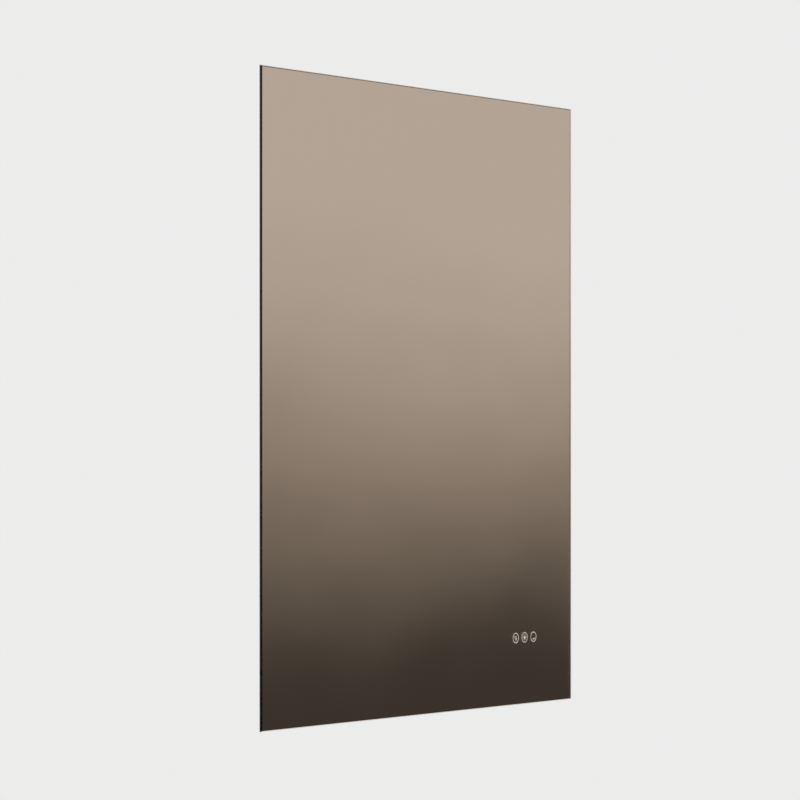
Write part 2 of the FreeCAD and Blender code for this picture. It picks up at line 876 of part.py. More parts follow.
def make_frame():
    """The four bars, with the holes that their screws and the light lead use."""
    bars = {side: mitred_bar(f"frame_{side}", side, channel_sections()) for side in SIDES}
    back_wall = (FRAME_BACK, CHAMBER_BACK)
    spots = {side: [] for side in SIDES}
    spots["top"] += hanger_screw_spots()
    spots["bottom"] += bumper_spots()
    for across, side in CORNERS:
        spots[side].append(corner_screw_spots(across, side, True))
        spots["left" if across < 0 else "right"].append(corner_screw_spots(across, side, False))
    for side, bar in bars.items():
        pocket(bar, "XZ", [Round(x, z, SCREW_HOLE) for x, z in spots[side]], *back_wall)
    side_holes = [Round(-off, up, SCREW_HOLE) for off, up in bracket_screw_spots()]
    wall_start = FRAME_INNER_SIDE + D.frame_wall
    pocket(bars["left"], "YZ", side_holes, -wall_start, -FRAME_INNER_SIDE)
    pocket(bars["right"], "YZ", side_holes, FRAME_INNER_SIDE, wall_start)
    lead_x = D.light_lead_shift + D.light_lead_step
    inner_face = FRAME_TOP - D.frame_width
    inner_hole = [Round(lead_x, -FRAME_MIDDLE, GROMMET_HOLE)]
    pocket(bars["top"], "XY", inner_hole, inner_face, inner_face + D.frame_wall)
    floor = FRAME_TOP - CHAMBER_OUTER
    floor_hole = [Round(lead_x, -FRAME_MIDDLE, LEAD_HOLE)]
    pocket(bars["top"], "XY", floor_hole, floor, floor + D.frame_wall)
    for side, bar in bars.items():
        keep(bar, f"frame_{side}")


def make_corner_keys():
    """An angled key in each corner of the frame, and the screws that hold it."""
    keys = []
    spots = []
    near = CHAMBER_OUTER + D.key_gap
    thick = CHAMBER_INNER - CHAMBER_OUTER - D.key_gap * 2
    for index, (across, side) in enumerate(CORNERS):
        edge, inward, _ = SIDES[side]
        steps = [
            (near, near),
            (near + D.key_leg, near),
            (near + D.key_leg, near + thick),
            (near + thick, near + thick),
            (near + thick, near + D.key_leg),
            (near, near + D.key_leg),
        ]
        corners = [((FRAME_SIDE - x) * across, edge + z * inward) for x, z in steps]
        here = [corner_screw_spots(across, side, level) for level in (True, False)]
        holes = [Round(x, z, SCREW_HOLE) for x, z in here]
        levels = (CHAMBER_BACK + D.key_gap, CHAMBER_FRONT - D.key_gap)
        keys.append(plate(f"corner_key_{index}", [Loop(*corners)] + holes, *levels))
        spots += [(x, FRAME_BACK, z) for x, z in here]
    keep(group("corner_keys", keys), "corner_keys")
    keep(copies("corner_screws", FRAME_SCREW, spots, TOWARDS_WALL), "corner_screws")


def side_block(name, side, ends, depths, levels):
    """A box along one side of the frame, between two distances from its outer face."""
    edge, inward, level = SIDES[side]
    near, far = (edge + as_size(depth) * inward for depth in depths)
    low, high = (near, far) if inward > 0 else (far, near)
    if level:
        return block(name, (ends[0], levels[0], low), (ends[1], levels[1], high))
    return block(name, (low, levels[0], ends[0]), (high, levels[1], ends[1]))


def side_ends(side, gap):
    """Where a strip along one side starts and ends, a gap short of the frame's corners."""
    _, _, level = SIDES[side]
    if level:
        return gap - FRAME_SIDE, FRAME_SIDE - gap
    return FRAME_BOTTOM + gap, FRAME_TOP - gap


def make_tape():
    """Four strips of foam tape that bond the pane to the frame."""
    near = (D.frame_width - D.tape_width) / 2
    far = near + D.tape_width
    strips = []
    for side in SIDES:
        _, _, level = SIDES[side]
        ends = side_ends(side, near if level else far)
        levels = (FRAME_FRONT, FILM_BACK)
        strips.append(side_block(f"tape_{side}", side, ends, (near, far), levels))
    keep(group("bonding_tape", strips), "bonding_tape")


# ---------------------------------------------------------------- light


def make_chips(side):
    """The light chips on one strip, as a row at a steady pitch."""
    edge, inward, level = SIDES[side]
    low, high = side_ends(side, D.strip_end_gap + D.chip_length)
    floor = D.channel_depth - D.strip_thick
    back, front = FRAME_MIDDLE - D.chip_width / 2, FRAME_MIDDLE + D.chip_width / 2
    near, far = edge + (floor - D.chip_height) * inward, edge + floor * inward
    if level:
        outline = rectangle(low, near, low + D.chip_length, far)
    else:
        outline = rectangle(near, low, far, low + D.chip_length)
    body = new_body(f"chips_{side}")
    first = pad(body, "XZ", [outline], back, front)
    row = body.newObject("PartDesign::LinearPattern", f"chips_{side}_row")
    row.Originals = [first]
    role = "X_Axis" if level else "Z_Axis"
    axis = next(item for item in body.Origin.OriginFeatures if item.Role == role)
    row.Direction = (axis, [""])
    steps = math.floor((high.value - low.value - D.chip_length.value) / D.chip_pitch.value)
    row.setExpression("Length", (D.chip_pitch * steps).formula)
    row.Occurrences = steps + 1
    body.Tip = row
    return body


def make_light():
    """On each side: a strip on the channel's floor, its chips, and the opal cover in front."""
    width = D.strip_width / 2
    floor = D.channel_depth
    for side in SIDES:
        ends = side_ends(side, D.strip_end_gap)
        levels = (FRAME_MIDDLE - width, FRAME_MIDDLE + width)
        depths = (floor - D.strip_thick, floor)
        strip = side_block(f"strip_{side}", side, ends, depths, levels)
        keep(strip, f"led_strip_{side}")
    keep(group("led_chips", [make_chips(side) for side in SIDES]), "led_chips")
    near = D.lip_thick + D.slide_gap
    far, skin = near + D.diffuser_depth, near + D.diffuser_wall
    back, front = CHAMBER_BACK + D.slide_gap, CHAMBER_FRONT - D.slide_gap
    inner_back, inner_front = back + D.diffuser_wall, front - D.diffuser_wall
    section = [
        (near, back), (near, front), (far, front), (far, inner_front),
        (skin, inner_front), (skin, inner_back), (far, inner_back), (far, back),
    ]
    for side in SIDES:
        keep(mitred_bar(f"cover_{side}", side, [section]), f"diffuser_{side}")


# ---------------------------------------------------------------- hanging


def make_cleat():
    """The wall cleat: a plate screwed to the wall, with a lip in front that points up."""
    section = Loop(
        (ZERO, -D.cleat_drop),
        (ZERO, D.cleat_rise),
        (-CHANNEL_BACK, D.cleat_rise),
        (-CHANNEL_BACK, HOOK_TOP),
        (-FRAME_BACK, HOOK_TOP),
        (-FRAME_BACK, D.cleat_rise - D.cleat_thick),
        (-D.cleat_thick, D.cleat_rise - D.cleat_thick),
        (-D.cleat_thick, -D.cleat_drop),
    )
    cleat = extrusion("wall_cleat", "YZ", [section], -CLEAT_SIDE, CLEAT_SIDE)
    slots = []
    for spacing in (D.slot_spacing, D.inner_slot_spacing):
        for across in (-1 / 2, 1 / 2):
            slots.append(slot(spacing * across, ZERO, D.slot_length, D.slot_width))
    pocket(cleat, "XZ", slots, ZERO, D.cleat_thick)
    keep(cleat, "wall_cleat")


def make_hanger():
    """The hanger rail on the frame, whose lip points down and hooks behind the cleat's."""
    back = D.cleat_play
    lip_front = back + D.cleat_thick
    section = Loop(
        (-back, HANGER_STEP - D.hanger_lip),
        (-back, HANGER_STEP + D.cleat_thick),
        (-CHANNEL_BACK, HANGER_STEP + D.cleat_thick),
        (-CHANNEL_BACK, FRAME_TOP),
        (-FRAME_BACK, FRAME_TOP),
        (-FRAME_BACK, HANGER_STEP),
        (-lip_front, HANGER_STEP),
        (-lip_front, HANGER_STEP - D.hanger_lip),
    )
    hanger = extrusion("hanger_rail", "YZ", [section], -HANGER_SIDE, HANGER_SIDE)
    spots = hanger_screw_spots()
    pocket(hanger, "XZ", [Round(x, z, SCREW_HOLE) for x, z in spots], CHANNEL_BACK, FRAME_BACK)
    keep(hanger, "hanger_rail")
    seats = [(x, CHANNEL_BACK, z) for x, z in spots]
    keep(copies("hanger_screws", FRAME_SCREW, seats, TOWARDS_WALL), "hanger_screws")


def make_bumpers():
    """Rubber bumpers that hold the lower edge as far off the wall as the cleat does the upper."""
    radius, bore, recess = D.bumper_diameter / 2, SCREW_HOLE / 2, D.bumper_recess / 2
    bevel = D.bumper_bevel
    master = turned(
        "bumper",
        (bore, ZERO),
        (radius, ZERO),
        (radius, FRAME_BACK - bevel),
        (radius - bevel, FRAME_BACK),
        (recess, FRAME_BACK),
        (recess, D.bumper_seat),
        (bore, D.bumper_seat),
    )
    spots = [(x, FRAME_BACK, z) for x, z in bumper_spots()]
    keep(copies("wall_bumpers", master, spots, TOWARDS_WALL), "wall_bumpers")
    seats = [(x, FRAME_BACK - D.bumper_seat, z) for x, z in bumper_spots()]
    keep(copies("bumper_screws", FRAME_SCREW, seats, TOWARDS_WALL), "bumper_screws")


# ---------------------------------------------------------------- power box


def rail_rivet_spots():
    """The rivets that join each bracket to the rail, as (across, up)."""
    across = FRAME_INNER_SIDE - D.bracket_leg * 2 / 3
    spots = []
    for side in (-1, 1):
        for share in (-1 / 4, 1 / 4):
            spots.append((across * side, BOX_MIDDLE + D.bracket_height * share))
    return spots


def box_rivet_spots():
    """The rivets that join the power box to the rail, as (across, up)."""
    return [(D.box_rivet_spacing * share, BOX_MIDDLE) for share in (-1 / 2, 1 / 2)]


def post_spots():
    """The posts in the power box that its cover is screwed to, as (across, up)."""
    across = BOX_SIDE - D.post_inset
    top, bottom = BOX_TOP - D.post_inset, BOX_BOTTOM + D.post_inset
    return [(across * side, up) for side in (-1, 1) for up in (bottom, top)]


def make_gear_rail():
    """The rail behind the pane that carries the power box, and its two end brackets."""
    half, rise = FRAME_INNER_SIDE - D.rail_end_gap, D.rail_height / 2
    outline = rectangle(-half, BOX_MIDDLE - rise, half, BOX_MIDDLE + rise)
    rivets = rail_rivet_spots() + box_rivet_spots()
    holes = [Round(x, z, SMALL_HOLE) for x, z in rivets]
    keep(plate("gear_rail", [outline] + holes, BOX_FRONT, RAIL_FRONT), "gear_rail")
    seat = BOX_FRONT - D.rail_thick
    low = BOX_MIDDLE - D.bracket_height / 2
    high = BOX_MIDDLE + D.bracket_height / 2
    far = seat - D.bracket_reach
    brackets = []
    for index, side in enumerate((-1, 1)):
        face = FRAME_INNER_SIDE * side
        skin = (FRAME_INNER_SIDE - D.rail_thick) * side
        foot = (FRAME_INNER_SIDE - D.bracket_leg) * side
        section = Loop(
            (face, -BOX_FRONT), (foot, -BOX_FRONT), (foot, -seat),
            (skin, -seat), (skin, -far), (face, -far),
        )
        bracket = extrusion(f"bracket_{index}", "XY", [section], low, high)
        rivets = [spot for spot in rail_rivet_spots() if spot[0].value * side > 0]
        pocket(bracket, "XZ", [Round(x, z, SMALL_HOLE) for x, z in rivets], seat, BOX_FRONT)
        holes = [Round(-off, up, SCREW_HOLE) for off, up in bracket_screw_spots()]
        start, end = (face, skin) if side < 0 else (skin, face)
        pocket(bracket, "YZ", holes, start, end)
        brackets.append(bracket)
    keep(group("rail_brackets", brackets), "rail_brackets")
    seats = [(x, seat, z) for x, z in rail_rivet_spots()]
    keep(copies("rail_rivets", RIVET, seats, TOWARDS_WALL), "rail_rivets")
    skin = FRAME_INNER_SIDE - D.rail_thick
    left = [(-skin, off, up) for off, up in bracket_screw_spots()]
    right = [(skin, off, up) for off, up in bracket_screw_spots()]
    screws = [
        copies("bracket_screws_left", FRAME_SCREW, left, TOWARDS_RIGHT),
        copies("bracket_screws_right", FRAME_SCREW, right, TOWARDS_LEFT),
    ]
    keep(group("bracket_screws", screws), "bracket_screws")


def gland_x():
    """How far across the supply gland stands."""
    return -D.gland_shift


def make_power_box():
    """The sheet metal box that holds the mains parts, with its posts, cover and screws."""
    sheet = D.box_sheet
    outer = rounded(-BOX_SIDE, BOX_BOTTOM, BOX_SIDE, BOX_TOP, D.box_corner)
    inner_corner = D.box_corner - sheet
    inner = rounded(
        sheet - BOX_SIDE, BOX_BOTTOM + sheet, BOX_SIDE - sheet, BOX_TOP - sheet, inner_corner
    )
    box = plate("power_box", [outer], BOX_BACK, BOX_FRONT)
    pocket(box, "XZ", [inner], BOX_BACK, BOX_FLOOR)
    pocket(box, "XZ", [Round(x, z, SMALL_HOLE) for x, z in box_rivet_spots()], BOX_FLOOR, BOX_FRONT)
    pad(box, "XZ", [Round(x, z, D.post_diameter) for x, z in post_spots()], BOX_BACK, BOX_FLOOR)
    screw_end = BOX_BACK - sheet + D.small_length + D.hole_gap
    pocket(box, "XZ", [Round(x, z, SMALL_HOLE) for x, z in post_spots()], BOX_BACK, screw_end)
    gland_hole = Round(gland_x(), -FRAME_MIDDLE, D.gland_thread + D.hole_gap * 2)
    heat_hole = Round(D.heat_lead_shift, -FRAME_MIDDLE, GROMMET_HOLE)
    pocket(box, "XY", [gland_hole, heat_hole], BOX_BOTTOM, BOX_BOTTOM + sheet)
    light_hole = Round(D.light_lead_shift, -FRAME_MIDDLE, GROMMET_HOLE)
    pocket(box, "XY", [light_hole], BOX_TOP - sheet, BOX_TOP)
    touch_hole = Round(-FRAME_MIDDLE, BOX_TOP - D.touch_lead_drop, GROMMET_HOLE)
    pocket(box, "YZ", [touch_hole], BOX_SIDE - sheet, BOX_SIDE)
    keep(box, "power_box")
    cover_holes = [Round(x, z, SMALL_HOLE) for x, z in post_spots()]
    cover_back = BOX_BACK - sheet
    outline = rounded(-BOX_SIDE, BOX_BOTTOM, BOX_SIDE, BOX_TOP, D.box_corner)
    keep(plate("box_cover", [outline] + cover_holes, cover_back, BOX_BACK), "power_box_cover")
    seats = [(x, cover_back, z) for x, z in post_spots()]
    keep(copies("cover_screws", SMALL_SCREW, seats, TOWARDS_WALL), "cover_screws")
    seats = [(x, BOX_FLOOR, z) for x, z in box_rivet_spots()]
    keep(copies("box_rivets", RIVET, seats, TOWARDS_WALL), "box_rivets")


def make_driver():
    """The potted supply that feeds the light strips, with bevelled long edges."""
    left = D.driver_inset - BOX_SIDE
    top = BOX_TOP - D.driver_inset
    bottom, back = top - D.driver_height, BOX_FLOOR - D.driver_depth
    bevel = D.driver_corner
    section = Loop(
        (-BOX_FLOOR, bottom),
        (-BOX_FLOOR, top),
        (-back - bevel, top),
        (-back, top - bevel),
        (-back, bottom + bevel),
        (-back - bevel, bottom),
    )
    driver = extrusion("driver", "YZ", [section], left, BOARD_LEFT - D.driver_board_gap)
    keep(driver, "led_driver")


def make_board():
    """The control board on its standoffs, with a relay, a choke and two capacitors."""
    left, right = BOARD_LEFT, BOARD_RIGHT
    low = BOX_MIDDLE - D.board_height / 2
    high = BOX_MIDDLE + D.board_height / 2
    front = BOX_FLOOR - D.board_stand
    back = front - D.board_thick
    inset = D.board_hole_inset
    spots = [(x, z) for x in (left + inset, right - inset) for z in (low + inset, high - inset)]
    holes = [Round(x, z, SMALL_HOLE) for x, z in spots]
    board = plate("board", [rectangle(left, low, right, high)] + holes, back, front)
    keep(board, "control_board")
    radius, neck = D.standoff_diameter / 2, D.small_shank / 2
    snap = D.board_stand + D.board_thick + D.hole_gap
    master = turned(
        "standoff",
        (ZERO, ZERO),
        (radius, ZERO),
        (radius, D.board_stand),
        (neck, D.board_stand),
        (neck, snap),
        (radius - D.hole_gap * 3, snap),
        (neck - D.hole_gap * 3, snap + D.standoff_tip),
        (ZERO, snap + D.standoff_tip),
    )
    seats = [(x, BOX_FLOOR, z) for x, z in spots]
    keep(copies("board_standoffs", master, seats, TOWARDS_WALL), "board_standoffs")
    make_components(left, high, back)


def make_components(left, high, back):
    """What stands on the control board."""
    margin = D.board_hole_inset * 2
    relay_right = left + margin + D.relay_length
    relay_low = high - margin - D.relay_height
    relay = block(
        "relay",
        (left + margin, back - D.relay_depth, relay_low),
        (relay_right, back, high - margin),
    )
    choke_left = relay_right + D.board_hole_inset
    choke = block(
        "choke",
        (choke_left, back - D.choke_depth, relay_low),
        (choke_left + D.choke_length, back, high - margin),
    )
    spots = [(left + margin + D.capacitor_diameter * step, relay_low - margin) for step in (1, 3)]
    cans = []
    for index, (x, z) in enumerate(spots):
        can = rod(
            f"capacitor_{index}", (x, back, z), TOWARDS_WALL, D.capacitor_diameter, D.capacitor_depth
        )
        cans.append(can)
    keep(group("components", [relay, choke] + cans), "board_components")


def make_terminal():
    """The block that the supply cable's three cores are clamped in, and its screws."""
    middle = gland_x()
    low = BOX_BOTTOM + D.terminal_rise
    high = low + D.terminal_height
    left, right = middle - D.terminal_length / 2, middle + D.terminal_length / 2
    back = BOX_FLOOR - D.terminal_depth
    body = plate("terminal", [rounded(left, low, right, high, D.window_corner)], back, BOX_FLOOR)
    level = (low + high) / 2
    spots = [(middle + D.terminal_pitch * step, level) for step in (-1, 0, 1)]
    seat = back + D.small_head_height + D.terminal_screw_sink
    pocket(body, "XZ", [Round(x, z, D.terminal_well) for x, z in spots], back, seat)
    screw_end = seat + D.small_length + D.hole_gap
    pocket(body, "XZ", [Round(x, z, SMALL_HOLE) for x, z in spots], seat, screw_end)
    keep(body, "terminal_block")
    seats = [(x, seat, z) for x, z in spots]
    keep(copies("terminal_screws", SMALL_SCREW, seats, TOWARDS_WALL), "terminal_screws")


def make_gland():
    """The supply gland under the power box: body, seal, dome nut and the lock nut inside."""
    across, off = gland_x(), FRAME_MIDDLE
    flange_low = BOX_BOTTOM - D.gland_flange
    thread_low = flange_low - D.gland_thread_length
    lock_low = BOX_BOTTOM + D.box_sheet
    lock_high = lock_low + D.lock_nut_thick
    inner_top = lock_high + D.lock_nut_spare

    flange = hexagon("gland_hex", (across, off, flange_low), UPWARDS, D.gland_hex, D.gland_flange)
    upper = rod(
        "gland_upper", (across, off, BOX_BOTTOM), UPWARDS, D.gland_thread, inner_top - BOX_BOTTOM
    )
    lower = rod(
        "gland_lower", (across, off, thread_low), UPWARDS, D.gland_thread, D.gland_thread_length
    )
    bore = rod(
        "gland_bore", (across, off, thread_low), UPWARDS, D.gland_bore, inner_top - thread_low
    )
    seat_size = D.gland_seal_outer + D.hole_gap * 2
    seat = rod("gland_seat", (across, off, thread_low), UPWARDS, seat_size, D.gland_seal_length)
    body = without("gland_body", joined("gland_solid", flange, upper, lower), bore, seat)
    keep(body, "cable_gland")

    tube = (D.gland_seal_outer, D.gland_seal_bore, D.gland_seal_length)
    keep(plate_ring("seal_ring", (across, off, thread_low), *tube), "gland_seal")

    radius, hollow = D.gland_nut_diameter / 2, D.gland_thread / 2 + D.hole_gap
    dome = D.gland_nut_wall
    rim = D.gland_thread_length - D.hole_gap
    nut = turned(
        "gland_nut",
        (D.gland_bore / 2, -dome),
        (radius - dome, -dome),
        (radius, ZERO),
        (radius, rim),
        (hollow, rim),
        (hollow, -D.hole_gap),
        (D.gland_bore / 2, -D.hole_gap),
    )
    place(nut, (across, off, thread_low))
    keep(nut, "gland_nut")

    lock = hexagon("lock_hex", (across, off, lock_low), UPWARDS, D.gland_hex, D.lock_nut_thick)
    hole_size = D.gland_thread + D.hole_gap * 2
    hole = rod("lock_hole", (across, off, lock_low), UPWARDS, hole_size, D.lock_nut_thick)
    keep(without("lock_nut", lock, hole), "gland_lock_nut")


def plate_ring(name, spot, outer, inner, length):
    """A tube that stands upright on a spot."""
    skin = rod(f"{name}_outer", spot, UPWARDS, outer, length)
    hole = rod(f"{name}_inner", spot, UPWARDS, inner, length)
    return without(name, skin, hole)


# ---------------------------------------------------------------- touch unit


def touch_boss_spots():
    """The two bosses that hold the touch unit's cover, as (across, up)."""
    reach = D.touch_length / 2 - D.touch_boss_inset
    return [(TOUCH_X + reach * side, TOUCH_Z) for side in (-1, 1)]


def touch_outline(inset, corner):
    """The outline of the touch unit, smaller all round by an inset."""
    reach, rise = D.touch_length / 2 - inset, D.touch_height / 2 - inset
    return rounded(TOUCH_X - reach, TOUCH_Z - rise, TOUCH_X + reach, TOUCH_Z + rise, corner)


def make_touch_unit():
    """The housing on the back of the pane, its cover, and the board with three sense pads."""
    wall = D.touch_wall
    outer = touch_outline(ZERO, D.touch_corner)
    inner = touch_outline(wall, D.touch_corner - wall)
    housing = plate("touch_shell", [outer, inner], TOUCH_BACK, FILM_BACK)
    bosses = [Round(x, z, D.touch_boss) for x, z in touch_boss_spots()]
    pad(housing, "XZ", bosses, TOUCH_BACK, FILM_BACK)
    holes = [Round(x, z, SMALL_HOLE) for x, z in touch_boss_spots()]
    cover_back = TOUCH_BACK - D.touch_cover_thick
    screw_end = cover_back + D.small_length + D.hole_gap
    pocket(housing, "XZ", holes, TOUCH_BACK, screw_end)
    lead_hole = Round(TOUCH_LEAD_X, -TOUCH_LEAD_DEPTH, GROMMET_HOLE)
    pocket(housing, "XY", [lead_hole], TOUCH_TOP - wall, TOUCH_TOP)
    keep(housing, "touch_housing")

    outline = touch_outline(ZERO, D.touch_corner)
    cover = plate("touch_lid", [outline] + holes, cover_back, TOUCH_BACK)
    reach = D.touch_board_length / 2 - D.board_hole_inset
    rise = D.touch_height / 2 - wall - D.board_hole_inset
    posts = []
    for across in (-1, 1):
        for up in (-1, 1):
            posts.append(Round(TOUCH_X + reach * across, TOUCH_Z + rise * up, D.standoff_diameter))
    pad(cover, "XZ", posts, TOUCH_BACK, TOUCH_BOARD_BACK)
    keep(cover, "touch_cover")
    seats = [(x, cover_back, z) for x, z in touch_boss_spots()]
    keep(copies("touch_screws", SMALL_SCREW, seats, TOWARDS_WALL), "touch_screws")

    half = D.touch_board_length / 2
    tall = D.touch_height / 2 - wall - D.touch_board_gap
    board = rectangle(TOUCH_X - half, TOUCH_Z - tall, TOUCH_X + half, TOUCH_Z + tall)
    keep(plate("sense_board", [board], TOUCH_BOARD_BACK, TOUCH_BOARD_FRONT), "touch_board")
    spots = [TOUCH_X + D.touch_pitch * step for step in (-1, 0, 1)]
    discs = [Round(x, TOUCH_Z, D.sense_pad_diameter) for x in spots]
    keep(plate("sense_discs", discs, TOUCH_BOARD_FRONT, OPAL_BACK), "sense_pads")


# ---------------------------------------------------------------- leads


def point(across, off, up):
    """A place in space from distances across, off the wall and up."""
    return FreeCAD.Vector(as_size(across).value, -as_size(off).value, as_size(up).value)


def lead_path(points, bend):
    """Straight runs joined by tangent arcs, and the length of the whole."""
    edges = []
    start = points[0]
    for before, corner, after in zip(points, points[1:], points[2:]):
        back, on = before - corner, after - corner
        shorter = min(back.Length, on.Length)
        half_turn = (math.pi - back.getAngle(on)) / 2
        reach = min(bend * math.tan(half_turn), BEND_SHARE * shorter)
        radius = reach / math.tan(half_turn)
        back.normalize()
        on.normalize()
        middle = back + on
        middle.normalize()
        centre = corner + middle * (radius / math.cos(half_turn))
        first, last = corner + back * reach, corner + on * reach
        edges.append(Part.LineSegment(start, first).toShape())
        edges.append(Part.Arc(first, centre - middle * radius, last).toShape())
        print(f"bend radius {radius:.1f} mm")
        start = last
    edges.append(Part.LineSegment(start, points[-1]).toShape())
    return Part.Wire(edges)


def make_lead(name, points):
    """A round lead along a route of chosen points."""
    path = lead_path(points, D.lead_bend.value)
    radius = D.lead_diameter.value / 2
    ring = Part.Circle(points[0], points[1] - points[0], radius)
    tube = path.makePipeShell([Part.Wire(ring.toShape())], True, False)
    expected = math.pi * radius**2 * path.Length
    print(f"{name}: {path.Length:.0f} mm long, volume {tube.Volume:.0f} of {expected:.0f} mm3")
    lead = DOC.addObject("Part::Feature", name)
    lead.Shape = tube
    keep(lead, name)


def make_leads():
    """The three leads that stay inside the mirror, and their grommets and clips."""
    near, off = D.lead_entry, FRAME_MIDDLE
    light_x, step = D.light_lead_shift, D.light_lead_step
    strip_back = FRAME_TOP - D.channel_depth - D.hole_gap
    make_lead(
        "light_lead",
        [
            point(light_x, off, BOX_TOP - near),
            point(light_x, off, BOX_TOP + step),
            point(light_x + step, off, BOX_TOP + step * 3),
            point(light_x + step, off, strip_back),
        ],
    )
    terminal_top = HEATER_TOP - D.heater_corner + D.hole_gap
    heat_off = FILM_BACK - D.heater_thick - D.heater_terminal_depth / 2
    make_lead(
        "demister_lead",
        [
            point(D.heat_lead_shift, off, BOX_BOTTOM + near),
            point(D.heat_lead_shift, off, BOX_BOTTOM - step),
            point(D.heat_lead_shift, heat_off, HEATER_TOP + step / 3),
            point(D.heat_lead_shift, heat_off, terminal_top),
        ],
    )
    touch_z = BOX_TOP - D.touch_lead_drop
    rail_low = BOX_MIDDLE - D.rail_height / 2
    make_lead(
        "touch_lead",
        [
            point(BOX_SIDE - near, off, touch_z),
            point(TOUCH_LEAD_X, off, touch_z),
            point(TOUCH_LEAD_X, off, rail_low - step),
            point(TOUCH_LEAD_X, LEAD_DEPTH, rail_low - step * 3),
            point(TOUCH_LEAD_X, LEAD_DEPTH, TOUCH_TOP + step * 3),
            point(TOUCH_LEAD_X, TOUCH_LEAD_DEPTH, TOUCH_TOP + step),
            point(TOUCH_LEAD_X, TOUCH_LEAD_DEPTH, TOUCH_TOP - near),
        ],
    )
    make_grommets(touch_z)
    make_clips()


def grommet(name, wall, spot, rotation):
    """A rubber grommet, centred in a wall."""
    bore, sleeve, flange = LEAD_HOLE / 2, D.grommet_sleeve / 2, D.grommet_flange / 2
    inner = wall / 2 + D.hole_gap
    outer = inner + D.grommet_lip
    body = turned(
        name,
        (bore, -outer),
        (flange, -outer),
        (flange, -inner),
        (sleeve, -inner),
        (sleeve, inner),
        (flange, inner),
        (flange, outer),
        (bore, outer),
    )
    place(body, spot, rotation)
    return body


def make_grommets(touch_z):
    """One grommet where each lead passes a wall."""
    off, sheet = FRAME_MIDDLE, D.box_sheet
    light_x, frame_x = D.light_lead_shift, D.light_lead_shift + D.light_lead_step
    frame_z = FRAME_TOP - D.frame_width + D.frame_wall / 2
    touch_spot = (TOUCH_LEAD_X, TOUCH_LEAD_DEPTH, TOUCH_TOP - D.touch_wall / 2)
    rings = [
        grommet("grommet_light", sheet, (light_x, off, BOX_TOP - sheet / 2), UPWARDS),
        grommet("grommet_frame", D.frame_wall, (frame_x, off, frame_z), UPWARDS),
        grommet("grommet_heat", sheet, (D.heat_lead_shift, off, BOX_BOTTOM + sheet / 2), UPWARDS),
        grommet("grommet_touch", sheet, (BOX_SIDE - sheet / 2, off, touch_z), TOWARDS_RIGHT),
        grommet("grommet_unit", D.touch_wall, touch_spot, UPWARDS),
    ]
    keep(group("grommets", rings), "grommets")


def make_clips():
    """Adhesive clips that hold the touch lead on the back of the pane."""
    middle, half = TOUCH_LEAD_X, D.clip_width / 2
    hump = LEAD_HOLE / 2 + D.clip_wall
    base = FILM_BACK - D.clip_base
    clips = []
    first = -D.clip_first
    room = first - TOUCH_TOP - D.light_lead_step * 3
    count = math.floor(room.value / D.clip_pitch.value) + 1
    for index in range(count):
        low = first - D.clip_pitch * index
        section = Loop(
            (middle - half, -FILM_BACK),
            (middle + half, -FILM_BACK),
            (middle + half, -base),
            (middle + hump, -base),
            (middle + hump, -LEAD_DEPTH, middle, -LEAD_DEPTH, 1),
            (middle - hump, -LEAD_DEPTH),
            (middle - hump, -base),
            (middle - half, -base),
        )
        bore = Round(middle, -LEAD_DEPTH, LEAD_HOLE)
        clips.append(extrusion(f"clip_{index}", "XY", [section, bore], low, low + D.clip_length))
    keep(group("wire_clips", clips), "wire_clips")


# ---------------------------------------------------------------- checks and files


def check(items):
    """Stop at any object that failed, or any sub-part without a sound shape."""
    for item in items:
        if "Invalid" in item.State or "Error" in item.State:
            raise RuntimeError(f"{item.Label} failed: {item.State}")
    for item in PIECES:
        if item.Shape.isNull() or not item.Shape.isValid() or not item.Shape.Solids:
            raise RuntimeError(f"{item.Label} has no sound shape")


def write_parts():
    """Write each sub-part to its own file."""
    os.makedirs("parts", exist_ok=True)
    for item in PIECES:
        item.Shape.exportStep(f"parts/{item.Label}.step")


make_glass()
make_coating()
make_film()
make_heater()
make_frame()
make_corner_keys()
make_tape()
make_light()
make_cleat()
make_hanger()
make_bumpers()
make_gear_rail()
make_power_box()
make_driver()
make_board()
make_terminal()
make_gland()
make_touch_unit()
make_leads()
DOC.recompute()
check(DOC.Objects)
write_parts()
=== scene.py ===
"""Looks of a lighted bathroom mirror: a frameless pane that hangs from a cleat.

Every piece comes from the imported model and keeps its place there. This script gives each one its
finish, adds the silver sheet and the heating pad's printed track, and sets the studio.
Lengths are in metres. The pane faces -Y, +Z is up, and the cleat's back lies in the plane y = 0.
"""

import logging
import math
from dataclasses import dataclass, field
from enum import Enum
from typing import Iterable, Optional, Union

